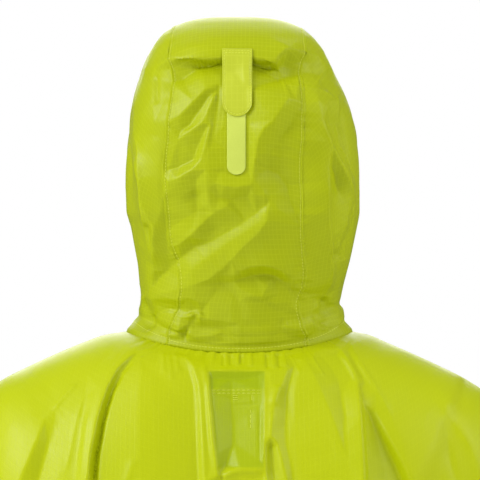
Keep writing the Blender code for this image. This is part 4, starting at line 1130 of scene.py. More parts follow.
class Bench:
    """A new material and the one method that adds nodes to it."""

    def __init__(self, name: str) -> None:
        """Makes the material and clears its nodes."""
        self.material = bpy.data.materials.new(name)
        self.material.use_nodes = True
        self.tree = self.material.node_tree
        self.tree.nodes.clear()

    def node(self, kind: str, output: str | int, settings: dict | None = None, **sockets: object) -> Wire:
        """Adds a node.

        Args:
            kind: The node's type, without its ShaderNode prefix.
            output: The name or place of the output that is wanted.
            settings: The node's own settings, which are set first.
            sockets: Values or wires of its sockets, spaces in their names written as underscores.

        Returns:
            The output.
        """
        node = self.tree.nodes.new("ShaderNode" + kind)
        for name, value in (settings or {}).items():
            setattr(node, name, value)
        for name, value in sockets.items():
            target = self.socket(node, name.replace("_", " "))
            if isinstance(value, Wire):
                self.tree.links.new(value.socket, target)
            else:
                target.default_value = value
        return Wire(self.tree, node.outputs[output])

    @staticmethod
    def socket(node: bpy.types.Node, name: str) -> bpy.types.NodeSocket:
        """Finds an enabled input by its name."""
        return next(item for item in node.inputs if item.name == name and item.enabled)

    def falling(self, ramp: Wire, end: float) -> Wire:
        """Falls smoothly from 1 where a ramp is 0 to 0 where it reaches the given end."""
        settings = {"interpolation_type": "SMOOTHSTEP"}
        ends = {"From_Min": 0.0, "From_Max": end, "To_Min": 1.0, "To_Max": 0.0}
        return self.node("MapRange", "Result", settings, Value=ramp, **ends)

    def blend(self, factor: Wire | float, low: Wire | tuple, high: Wire | tuple) -> Wire:
        """Mixes two colours."""
        low, high = (part if isinstance(part, Wire) else (*part, 1.0) for part in (low, high))
        return self.node("Mix", 2, {"data_type": "RGBA"}, Factor=factor, A=low, B=high)

    def cloth_place(self) -> tuple[Wire, Wire, Wire]:
        """The place on the flat cloth in metres: the vector, and its two parts."""
        place = self.node("UVMap", "UV", {"uv_map": CLOTH_MAP})
        return place, *(self.node("SeparateXYZ", name, None, Vector=place) for name in ("X", "Y"))

    def noise(self, place: Wire, scale: float, detail: float, **settings: object) -> Wire:
        """A noise of a number of waves to the metre, which lies about one half."""
        return self.node("TexNoise", 0, settings, Vector=place, Scale=scale, Detail=detail)

    def finish(self, bump: Wire, strength: float, **sockets: object) -> Material:
        """Ends the material in a Principled shader.

        Args:
            bump: The height of the surface's fine relief, in metres.
            strength: How strongly it shows.
            sockets: The shader's own sockets.

        Returns:
            The material.
        """
        normal = self.node("Bump", "Normal", None, Height=bump, Strength=strength, Distance=1.0)
        shader = self.node("BsdfPrincipled", "BSDF", None, Normal=normal, **sockets)
        output = self.tree.nodes.new("ShaderNodeOutputMaterial")
        self.tree.links.new(shader.socket, output.inputs["Surface"])
        return self.material


@dataclass(frozen=True)
class RipstopFinish:
    """Coated ripstop: a fine plain weave with a raised grid of thicker threads, satin on its coating."""

    name: str
    pitch: Pair
    colour: Triple = (0.395, 0.447, 0.0)
    grid_colour: Triple = (0.60, 0.67, 0.01)
    shade_colour: Triple = (0.372, 0.435, 0.0)
    # Painted shade for cloth that lies double, at hems and over the inside patch
    doubled_shade_colour: Triple = (0.28, 0.36, 0.0)
    grid_share: float = 0.24
    grid_width: float = 0.45 * MM
    grid_height: float = 0.06 * MM
    weave_pitch: float = 0.3 * MM
    crinkle: float = 0.22 * MM
    roughness: float = 0.40
    gloss: float = 0.22

    def lines(self, bench: Bench, along: Wire, across: Wire, pitch: float) -> Wire:
        """One set of the grid's threads, dotted where the other threads cross over them."""
        thread = bench.falling(along.math("PINGPONG", pitch / 2), self.grid_width)
        dots = bench.falling(across.math("PINGPONG", pitch / 10), pitch / 10)
        return thread * (0.55 + 0.45 * dots)

    def build(self) -> Material:
        """Makes the finish."""
        bench = Bench(self.name)
        place, across, down = bench.cloth_place()
        others = self.lines(bench, down, across, self.pitch[1])
        threads = self.lines(bench, across, down, self.pitch[0]).math("MAXIMUM", others)
        weave = across.math("PINGPONG", self.weave_pitch) + down.math("PINGPONG", self.weave_pitch)
        broad = bench.noise(place, 9.0, 3.0)
        small = bench.noise(place, 70.0, 5.0, noise_dimensions="2D")
        fold = bench.noise(place, 28.0, 4.0, noise_dimensions="2D")
        crinkle = (small - 0.5).math("ABSOLUTE") * 0.5 + (fold - 0.5).math("ABSOLUTE")
        shade = broad.math("SUBTRACT", 0.35, clamp=True) * 1.6
        shade = bench.blend(shade, self.shade_colour, self.colour)
        # Painted shade where the cloth lies double, which also fades the grid there
        doubled = bench.node("Attribute", "Fac", {"attribute_name": DOUBLED_SHADE})
        shade = bench.blend(doubled, shade, self.doubled_shade_colour)
        colour = bench.blend(threads * self.grid_share * (1 - 0.5 * doubled), shade, self.grid_colour)
        height = threads * self.grid_height + weave * 0.03 - crinkle * self.crinkle
        rough = self.roughness + 0.10 * (small - 0.5) + 0.06 * threads
        return bench.finish(height, 1.0, Base_Color=colour, Roughness=rough, Specular_IOR_Level=self.gloss)


@dataclass(frozen=True)
class TapeFinish:
    """Loop tape: a matt pile of tiny loops on a woven ground."""

    colour: Triple = (0.55, 0.63, 0.10)
    hollow_shade_colour: Triple = (0.44, 0.52, 0.05)
    loop_pitch: float = 0.9 * MM
    pile_height: float = 0.25 * MM

    def build(self) -> Material:
        """Makes the finish."""
        bench = Bench("loop_tape")
        place, across, down = bench.cloth_place()
        half, rise = self.loop_pitch / 2, self.loop_pitch * 0.6
        rib, tuft = across.math("PINGPONG", half) / half, down.math("PINGPONG", rise) / rise
        fuzz = bench.noise(place, 900.0, 3.0, noise_dimensions="2D")
        pile = rib * tuft * 0.5 + fuzz * 0.5
        # Darker where the pile is low, in the hollows between the loops: painted shade
        colour = bench.blend(pile, self.hollow_shade_colour, self.colour)
        return bench.finish(pile * self.pile_height, 0.8, Base_Color=colour, Roughness=0.82, Sheen_Weight=0.3)


@dataclass(frozen=True)
class ThreadFinish:
    """Sewing thread: two twisted plies with a slight shine."""

    colour: Triple = (0.68, 0.75, 0.06)
    ply_groove_shade_colour: Triple = (0.55, 0.62, 0.03)
    ply_width: float = 0.2 * MM
    ply_height: float = 0.05 * MM

    def build(self) -> Material:
        """Makes the finish."""
        bench = Bench("sewing_thread")
        _, across, down = bench.cloth_place()
        twist = (across * 0.7 + down).math("PINGPONG", self.ply_width) / self.ply_width
        # Darker where the twist is low, in the grooves between the plies: painted shade
        colour = bench.blend(twist, self.ply_groove_shade_colour, self.colour)
        return bench.finish(twist * self.ply_height, 0.6, Base_Color=colour, Roughness=0.55, Sheen_Weight=0.2)


@dataclass(frozen=True)
class FloorFinish:
    """A plain pale studio floor with a faint grain."""

    colour: Triple = (0.86, 0.86, 0.86)
    grain_height: float = 0.5 * MM

    def build(self) -> Material:
        """Makes the finish."""
        bench = Bench("studio_floor")
        grain = bench.noise(bench.node("TexCoord", "Object"), 6.0, 2.0)
        colour = bench.blend(grain, self.colour, tuple(0.98 * part for part in self.colour))
        return bench.finish(grain * self.grain_height, 0.2, Base_Color=colour, Roughness=0.7)


@dataclass
class Finishes:
    """The finishes that the poncho's pieces share."""

    # The hood's copy of the body's cloth, darker all over: painted shade
    hood: Material = field(
        default_factory=RipstopFinish(
            "ripstop_hood", (4.1 * MM, 5.1 * MM), (0.357, 0.413, 0.0), (0.60, 0.67, 0.03), (0.312, 0.368, 0.0)
        ).build
    )
    body: Material = field(
        default_factory=RipstopFinish("ripstop_body", (5.0 * MM, 6.4 * MM), grid_share=0.12).build
    )
    # The tab's copy of the body's cloth, paler and less saturated: painted sheen
    tab: Material = field(
        default_factory=RipstopFinish(
            "ripstop_tab", (5.4 * MM, 6.9 * MM), (0.42, 0.475, 0.03), (0.60, 0.67, 0.06), (0.40, 0.455, 0.02)
        ).build
    )
    tape: Material = field(default_factory=TapeFinish().build)
    thread: Material = field(default_factory=ThreadFinish().build)


def flat_places(grid: Array) -> Array:
    """The place of each point on the flat cloth: along its row from the middle, and up its column.

    Args:
        grid: The points, row by row.

    Returns:
        Two distances for each point.
    """
    steps = np.linalg.norm(np.diff(grid, axis=1), axis=-1)
    along = np.concatenate([np.zeros((len(grid), 1)), np.cumsum(steps, axis=1)], axis=1)
    along = along - along[:, [along.shape[1] // 2]]
    rises = np.linalg.norm(np.diff(grid, axis=0), axis=-1)
    up = np.concatenate([np.zeros((1, grid.shape[1])), np.cumsum(rises, axis=0)], axis=0)
    middle = up[:, [grid.shape[1] // 2]]
    return np.stack([along, 0.5 * up + 0.5 * middle], axis=-1)


def cells(rows: int, columns: int) -> Array:
    """The corners of each cell of a grid of points, in turn."""
    index = np.arange(rows * columns).reshape(rows, columns)
    corners = [index[:-1, :-1], index[:-1, 1:], index[1:, 1:], index[1:, :-1]]
    return np.stack(corners, axis=-1).reshape(-1, 4)


@dataclass
class Sheet:
    """A cloth's two faces as grids of points, with the place of each point on the flat cloth."""

    outer: Array
    inner: Array
    flat: Array
    # How strongly painted shade darkens each point where the cloth lies double
    doubled: Array | float = 0.0

    @classmethod
    def hemmed(cls, outer: Array, normals: Array, turned: Array, base: Array) -> Sheet:
        """Makes a cloth that lies double along its turned hem, darkened there with painted shade.

        Args:
            outer: Its outer points before the hem is turned.
            normals: The way out of the form at each.
            turned: The share of each point that lies in the turned hem.
            base: The points of the smooth form under it.

        Returns:
            The cloth.
        """
        outer = outer + normals * (HEM_LIFT * turned)[..., None]
        inner = outer - normals * (CLOTH * (1 + turned))[..., None]
        return cls(outer, inner, flat_places(base), HEM_SHADE * turned)

    def add(self, name: str, finish: Material, node: str, slot: Slot = Slot.RIPSTOP) -> Object:
        """Adds the cloth as a piece that stands for a solid."""
        return add_piece(name, self.mesh(name), finish, (node,))

    def mirrored(self) -> Sheet:
        """The same cloth with its rows running the other way."""
        return Sheet(*(part[:, ::-1] for part in (self.outer, self.inner, self.flat, self.doubled)))

    def mesh(self, name: str) -> Mesh:
        """Makes the closed thin shell between the two faces.

        Args:
            name: The mesh's name.

        Returns:
            The mesh.
        """
        rows, columns = self.outer.shape[:2]
        count = rows * columns
        index = np.arange(count).reshape(rows, columns)
        front = cells(rows, columns)
        rear = front[:, [0, 3, 2, 1]] + count
        rim = np.concatenate([index[0, :-1], index[:-1, -1], index[-1, :0:-1], index[:0:-1, 0]])
        after = np.roll(rim, -1)
        edge = np.stack([rim, rim + count, after + count, after], axis=-1)
        faces = np.concatenate([front, rear, edge])
        data = bpy.data.meshes.new(name)
        points = np.concatenate([self.outer.reshape(-1, 3), self.inner.reshape(-1, 3)])
        data.from_pydata(points.tolist(), [], faces.tolist())
        spots = np.tile(self.flat.reshape(-1, 2), (2, 1))[faces.ravel()]
        layer = data.uv_layers.new(name=CLOTH_MAP)
        layer.data.foreach_set("uv", spots.astype(np.float32).ravel())
        # Painted shade where the cloth lies double, carried as an attribute
        doubled = np.broadcast_to(self.doubled, (rows, columns)).ravel()
        mark = data.attributes.new(DOUBLED_SHADE, "FLOAT", "POINT")
        mark.data.foreach_set("value", np.tile(doubled, 2).astype(np.float32))
        data.shade_smooth()
        data.set_sharp_from_angle(angle=math.radians(75))
        return data


def placed(name: str, data: bpy.types.ID) -> Object:
    """Makes an object of some data and links it to the scene."""
    item = bpy.data.objects.new(name, data)
    bpy.context.scene.collection.objects.link(item)
    return item


def add_piece(
    name: str, data: Mesh, finish: Material, nodes: tuple[str, ...] = ()
) -> Object:
    """Adds a piece of the poncho.

    Args:
        name: The piece's name.
        data: Its mesh.
        finish: Its finish.
        nodes: The solids that it stands for.

    Returns:
        The piece.
    """
    data.materials.append(finish)
    piece = placed(name, data)
    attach(piece, "root")
    if nodes:
        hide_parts(*nodes)
    LOG.info("%s: %d faces", name, len(data.polygons))
    return piece


def flat_area(grid: Array) -> float:
    """The area of a grid of points."""
    a, b, c, d = grid[:-1, :-1], grid[:-1, 1:], grid[1:, 1:], grid[1:, :-1]
    halves = np.linalg.norm(np.cross(b - a, c - a), axis=-1) + np.linalg.norm(np.cross(c - a, d - a), axis=-1)
    return float(halves.sum() / 2)


def grid_tree(grid: Array) -> BVHTree:
    """A grid of points as a tree that rays can be cast on."""
    return BVHTree.FromPolygons(grid.reshape(-1, 3).tolist(), cells(*grid.shape[:2]).tolist())


def height_over(tree: BVHTree, base: Array, ways: Array, reach: float = 40 * MM) -> Array:
    """How far a panel's face stands from points of the smooth form, along a way for each.

    Args:
        tree: The panel's face.
        base: The points.
        ways: A unit vector for each.
        reach: How far from the form the face is looked for.

    Returns:
        One height for each point.
    """
    heights = []
    for point, way in zip(base, ways):
        hit = tree.ray_cast(Vector(point + way * reach), Vector(-way), 2 * reach)
        heights.append(reach - hit[3] if hit[0] is not None else 0.0)
    return np.array(heights)


@dataclass
class Stitching:
    """Rows of small stitches, each a short round thread that dips into the cloth at its ends.

    A station of a stitch is a share of its length, a share of its thickness and a rise in thicknesses.
    """

    finish: Material
    length: float = 2.3 * MM
    gap: float = 1.0 * MM
    thickness: float = 0.55 * MM
    sides: int = 6
    probe: float = 0.2 * MM
    stations: tuple[Triple, ...] = (
        (0.0, 0.25, -0.25), (0.18, 0.9, 0.15), (0.5, 1.0, 0.35), (0.82, 0.9, 0.15), (1.0, 0.25, -0.25),
    )

    def row(
        self, name: str, lines: list[tuple[Array, Array]], length: float | None = None
    ) -> Object:
        """Sews rows of stitches.

        Args:
            name: The piece's name.
            lines: For each row, the points that it runs through and the way out of the cloth at each.
            length: The length of a stitch, if it isn't the usual one.

        Returns:
            The piece with every stitch.
        """
        length = length or self.length
        pace = length + self.gap
        turns = np.linspace(0, math.tau, self.sides, endpoint=False)
        points, faces, spots = [], [], []
        for line, outward in lines:
            marks = marks_along(line)
            steps = max(int(marks[-1] / pace), 1)
            for step in range(steps):
                faces += self.faces(len(points))
                for share, girth, rise in self.stations:
                    at = (step + share * length / pace) * marks[-1] / steps
                    out = unit(read_at(outward, marks, at))
                    ahead = min(at + self.probe, marks[-1])
                    way = read_at(line, marks, ahead) - read_at(line, marks, ahead - 2 * self.probe)
                    side = unit(np.cross(way, out))
                    middle = read_at(line, marks, at) + out * rise * self.thickness
                    radius = girth * self.thickness / 2
                    points += [middle + (side * math.cos(t) + out * math.sin(t)) * radius for t in turns]
                    spots += [(at, t * self.thickness / 2) for t in turns]
        data = bpy.data.meshes.new(name)
        data.from_pydata([tuple(point) for point in points], [], faces)
        layer = data.uv_layers.new(name=CLOTH_MAP)
        corners = [spots[corner] for face in faces for corner in face]
        layer.data.foreach_set("uv", np.array(corners, np.float32).ravel())
        data.shade_smooth()
        return add_piece(name, data, self.finish)

    def faces(self, first: int) -> list[tuple[int, ...]]:
        """The faces of one stitch, whose points begin at the given place in the mesh."""
        count = self.sides
        last = first + (len(self.stations) - 1) * count
        around = [
            (ring + turn, ring + (turn + 1) % count, ring + count + (turn + 1) % count, ring + count + turn)
            for ring in range(first, last, count)
            for turn in range(count)
        ]
        return [*around, tuple(range(first + count - 1, first - 1, -1)), tuple(range(last, last + count))]


@dataclass
class Hood:
    """The hood: a centre panel from the neck to the brim between two side panels."""

    finishes: Finishes
    stitching: Stitching
    form: HoodForm = field(default_factory=HoodForm)
    hem: float = 14 * MM
    hem_step: float = 1.0 * MM
    stitch_inset: float = 2 * MM
    hem_stitch: float = 3 * MM
    brim_angle: float = math.radians(120)
    brim_dip: float = math.radians(3)
    crown_corner: float = 0.58
    folds_held_for: float = 12 * MM
    creases_held_for: float = 4 * MM
    band_height: float = 6.0 * MM
    band_lift: float = 1.2 * MM
    seam_reach: float = 0.75 * MM
    seam_lift: float = 0.6 * MM
    seam_field: float = 6 * MM
    seam_groove: Triple = (0.25, 2.3 * MM, 0.7 * MM)
    seam_inset: float = 2.6 * MM
    tuck_reach: float = 2.0 * MM
    tuck_hang: float = 4.0 * MM
    tuck_end: float = 12 * MM
    turn_radius: float = 0.105
    crumple_from: float = 14 * MM
    crown_calm: Pair = (0.30, 0.05)
    outline_calm: Triple = (0.2, 0.114, 0.02)
    facets_from: float = 4 * MM
    neck_row: int = 3

    def __post_init__(self) -> None:
        """Lays the creases and the seams on the form."""
        self.folds = tracks_on(self.form, HOOD_FOLDS)
        fine = HOOD_CREASES + crumples(View.BACK, 11, 60, (-108, 108, 0, 300), 0.4)
        fine += crumples(View.LEFT, 12, 30, (-110, 80, 20, 280), 0.5)
        fine += crumples(View.RIGHT, 13, 30, (-110, 80, 20, 280), 0.5)
        self.creases = tracks_on(self.form, fine)
        dense = np.linspace(0, 1, 140)
        self.seams = {side: self.centre_base(dense, self.seam_edge(side)) for side in (1, -1)}
        kinds = ((20, 0.42 * MM, 5.5 * MM, 3.7 * MM), (30, 0.8 * MM, 9 * MM, 12 * MM))
        self.puckers = [
            Pucker(line, seed + side, depth, reach, pitch)
            for seed, depth, reach, pitch in kinds
            for side, line in self.seams.items()
        ]
        neck = self.form.neck.ring(np.linspace(0, math.pi, 120))
        self.puckers.append(Pucker(neck, 41, 0.45 * MM, 6 * MM, 4.2 * MM))
        box = (-0.36, 0.36, -0.06, 0.33)
        crumples_of = ((61, 34 * MM, 0.9 * MM), (62, 16 * MM, 0.6 * MM))
        self.facets = [Facets.crumpled(seed, pitch, height, box) for seed, pitch, height in crumples_of]
        self.broad_facets = Facets.folded(HOOD_FACET_LINES)
        self.tuck_lines = [
            self.form.seen_from(View.BACK, finer(np.array(line, float) * MM)) for line in TUCK_LINES
        ]
        self.centre_tree: BVHTree | None = None

    @staticmethod
    def seam_edge(side: int) -> Array:
        """The way across the centre panel to its seam with a side panel, for centre_base."""
        return np.array([1.0 if side > 0 else 0.0])

    def centre_base(self, shares: Array, across: Array) -> Array:
        """The centre panel on the smooth form, from the neck seam to the brim.

        Args:
            shares: The way along the panel, 0 at the neck seam and 1 at the brim.
            across: The way across it, 0 at the right seam and 1 at the left one.

        Returns:
            The points, row by row.
        """
        stops = np.array([row.share for row in SEAM_ROWS])
        seams = np.array([(row.left * MM, row.right * MM) for row in SEAM_ROWS])
        left, right = curve_through(stops, seams, shares).T
        x = right[:, None] + (left - right)[:, None] * across[None, :]
        first_left, first_right = seams[0]
        neck = self.form.neck
        foot = neck.ring(neck.angle_at(first_right + (first_left - first_right) * across))
        foot_angle = np.arctan2(foot[:, 2] - self.form.centre_z, foot[:, 1])
        brim_angle = self.brim_angle - self.brim_dip * (2 * across - 1) ** 2
        angle = foot_angle[None, :] + (brim_angle - foot_angle)[None, :] * shares[:, None]
        return self.form.across(x.ravel(), angle.ravel())

    def side_base(self, side: int, across: Array, up: Array) -> Array:
        """A side panel on the smooth form.

        Args:
            side: 1 for the wearer's left, -1 for the right.
            across: The way from the back seam to the face edge.
            up: The way from the neck seam to the top seam.

        Returns:
            Rows of points going up, each from the back to the face.
        """
        edge, corner = self.seam_edge(side), self.crown_corner
        back = self.centre_base(up * corner, edge)
        top = self.centre_base(corner + (1 - corner) * across, edge)
        start = self.form.neck.angle_at(abs(back[0, 0]))
        angles = np.linspace(start, -math.pi / 2, 200)
        neck = read_along(self.form.neck.ring(angles if side > 0 else math.pi - angles), across)
        drawn = np.array([(side * x, z) for x, z in FACE_EDGE]) * MM
        face = np.vstack([neck[-1:], self.form.seen_from(View.FRONT, finer(drawn, 8)), top[-1:]])
        face = read_along(face, up)
        u, v = across[None, :, None], up[:, None, None]
        ruled = (1 - v) * neck[None] + v * top[None] + (1 - u) * back[:, None] + u * face[:, None]
        low, high = (1 - u) * neck[0] + u * neck[-1], (1 - u) * top[0] + u * top[-1]
        patch = ruled - (1 - v) * low - v * high
        return self.form.onto(patch.reshape(-1, 3)).reshape(patch.shape)

    def relief(self, base: Array, normals: Array) -> Array:
        """How far the cloth's relief lifts points of the smooth form.

        Args:
            base: The points.
            normals: The way out of the form at each.

        Returns:
            One height for each point.
        """
        over = self.form.over_neck(base)
        held = smooth_step(over / self.folds_held_for)
        lift = sum(track.heights(base, normals) for track in self.folds) * held
        held = smooth_step(over / self.creases_held_for)
        lift += sum(track.heights(base, normals) for track in self.creases) * held
        lift += sum(pucker.heights(base) for pucker in self.puckers)
        places = np.column_stack([np.arctan2(base[:, 0], base[:, 1]) * self.turn_radius, base[:, 2]])
        top, fade = self.crown_calm
        calm = smooth_step(over / self.crumple_from) * smooth_step((top - base[:, 2]) / fade)
        least, side, fade = self.outline_calm
        calm *= least + (1 - least) * smooth_step((side - np.abs(base[:, 0])) / fade)
        lift += sum(field.lift(places) for field in self.facets) * calm
        behind = smooth_step(normals[:, 1] / FACING_BACK)
        behind *= smooth_step((over - self.band_height) / self.facets_from)
        lift += self.broad_facets.lift(base[:, [0, 2]], BORDER_ROUNDING) * behind
        share, middle, width = self.seam_groove
        for line in self.seams.values():
            away = distance_to(line, base, self.seam_field)
            ridge, groove = (away / self.seam_reach) ** 4, ((away - middle) / width) ** 2
            lift += self.seam_lift * (np.exp(-ridge) - share * np.exp(-groove))
        band = np.clip(over / self.band_height, 0, 1)
        return lift + self.band_lift * (1 - band) * np.minimum(6 * band, 1) ** 0.5

    def hung_over(self, base: Array, normals: Array) -> Array:
        """How far the roll above the tuck hangs down over it.

        Args:
            base: Points of the smooth form.
            normals: The way out of the form at each.

        Returns:
            One shift for each point.
        """
        down = unit(np.array([0.0, 0.0, -1.0]) + normals * normals[:, 2:3])
        amount = np.zeros(len(base))
        for line in self.tuck_lines:
            _, away, along, hand = beside(line, base, math.inf, normals)
            to_end = np.minimum(along, marks_along(line)[-1] - along)
            share = np.clip(away / self.tuck_reach, 0, 8)
            swell = share * np.exp(1 - share) * (hand > 0)
            amount += self.tuck_hang * swell * smooth_step(to_end / self.tuck_end)
        return down * amount[:, None]

    def dressed(self, grid: Array, hem_away: Array) -> tuple[Sheet, Array]:
        """Turns a grid of the smooth form into the worn cloth.

        Args:
            grid: Rows of points of the smooth form.
            hem_away: How far each point is from the cloth's turned hem.

        Returns:
            The cloth, and the way out of the form at each point.
        """
        base = grid.reshape(-1, 3)
        normals = self.form.normals(base)
        outer = base + normals * self.relief(base, normals)[:, None] + self.hung_over(base, normals)
        normals = normals.reshape(grid.shape)
        turned = smooth_step((self.hem - hem_away) / self.hem_step)
        return Sheet.hemmed(outer.reshape(grid.shape), normals, turned, grid), normals

    def add_centre(self) -> None:
        """Adds the centre panel."""
        shares = graded((0.0, 0.03, 20), (0.03, 0.72, 275), (0.72, 1.0, 42))
        across = graded((0.0, 0.035, 7), (0.035, 0.965, 100), (0.965, 1.0, 7))
        grid = self.centre_base(shares, across).reshape(len(shares), len(across), 3)
        to_brim = np.linalg.norm(grid - grid[-1][None], axis=-1)
        sheet, normals = self.dressed(grid, to_brim)
        self.centre_tree = grid_tree(sheet.outer)
        piece = sheet.add("hood_centre", self.finishes.hood, "hood_centre_panel")
        area = flat_area(sheet.outer)
        hem = nearest(to_brim[:, len(across) // 2], self.hem - self.stitch_inset)
        self.stitching.row("brim_stitches", [(sheet.outer[hem], normals[hem])], self.hem_stitch)
        self.stitching.row("neck_stitches", [(sheet.outer[self.neck_row], normals[self.neck_row])])
        for side, column, name in ((1, -1, "left"), (-1, 0, "right")):
            edge, beyond = sheet.outer[:, column], sheet.outer[:, column - 4 * side]
            widths = np.maximum(np.linalg.norm(edge - beyond, axis=-1), 1e-6)
            share = np.minimum(self.seam_inset / widths, 1.0)[:, None]
            line = edge * (1 - share) + beyond * share
            self.stitching.row(f"seam_stitches_{name}", [(line, normals[:, column])])

    def add_side(self, side: int) -> None:
        """Adds a side panel.

        Args:
            side: 1 for the wearer's left, -1 for the right.
        """
        name = "left" if side > 0 else "right"
        across = graded((0.0, 0.012, 4), (0.012, 0.36, 66), (0.36, 1.0, 46))
        up = graded((0.0, 0.03, 10), (0.03, 0.985, 190), (0.985, 1.0, 5))
        grid = self.side_base(side, across, up)
        to_face = np.linalg.norm(grid - grid[:, -1:], axis=-1)
        drawn, normals = self.dressed(grid, to_face)
        sheet = drawn if side > 0 else drawn.mirrored()
        piece = sheet.add(f"hood_{name}", self.finishes.hood, f"hood_side_{name}")
        area = flat_area(sheet.outer)
        hem = nearest(to_face[len(up) // 2], self.hem - self.stitch_inset)
        line = (drawn.outer[:, hem], normals[:, hem])
        self.stitching.row(f"face_stitches_{name}", [line], self.hem_stitch)
        line = (drawn.outer[self.neck_row], normals[self.neck_row])
        self.stitching.row(f"neck_stitches_{name}", [line])


@dataclass(frozen=True)
class Strap:
    """A straight strap with a rounded lower end, laid out in the plane of the back view."""

    centre_x: float
    half_width: float
    top_z: float
    bottom_z: float
    end_radius: float
    thickness: float
    rows: int
    columns: int
    edge_gather: float = 1.35

    def plane(self) -> tuple[Array, Array]:
        """Lays out its points.

        Returns:
            The places of the points from the bottom row to the top one, and how far each is from the edge.
        """
        bottom, half, radius = self.bottom_z, self.half_width, self.end_radius
        turns = np.linspace(math.radians(7), math.pi / 2, 18)
        straight = np.linspace(bottom + radius, self.top_z, self.rows)[1:]
        z = np.concatenate([bottom + radius * (1 - np.cos(turns)), straight])
        widths = np.concatenate([half * np.sin(turns), np.full(len(straight), half)])
        share = np.linspace(-1, 1, self.columns + 1)
        share = np.sign(share) * (1 - (1 - np.abs(share)) ** self.edge_gather)
        beside_middle = widths[:, None] * share[None, :]
        x = self.centre_x + beside_middle
        z = np.broadcast_to(z[:, None], x.shape)
        arc = bottom + radius * (1 - np.sqrt(np.maximum(1 - (beside_middle / half) ** 2, 0)))
        away = np.minimum(np.minimum(half - np.abs(beside_middle), z - arc), self.top_z - z)
        return np.stack([x, z], axis=-1), np.maximum(away, 0.0)


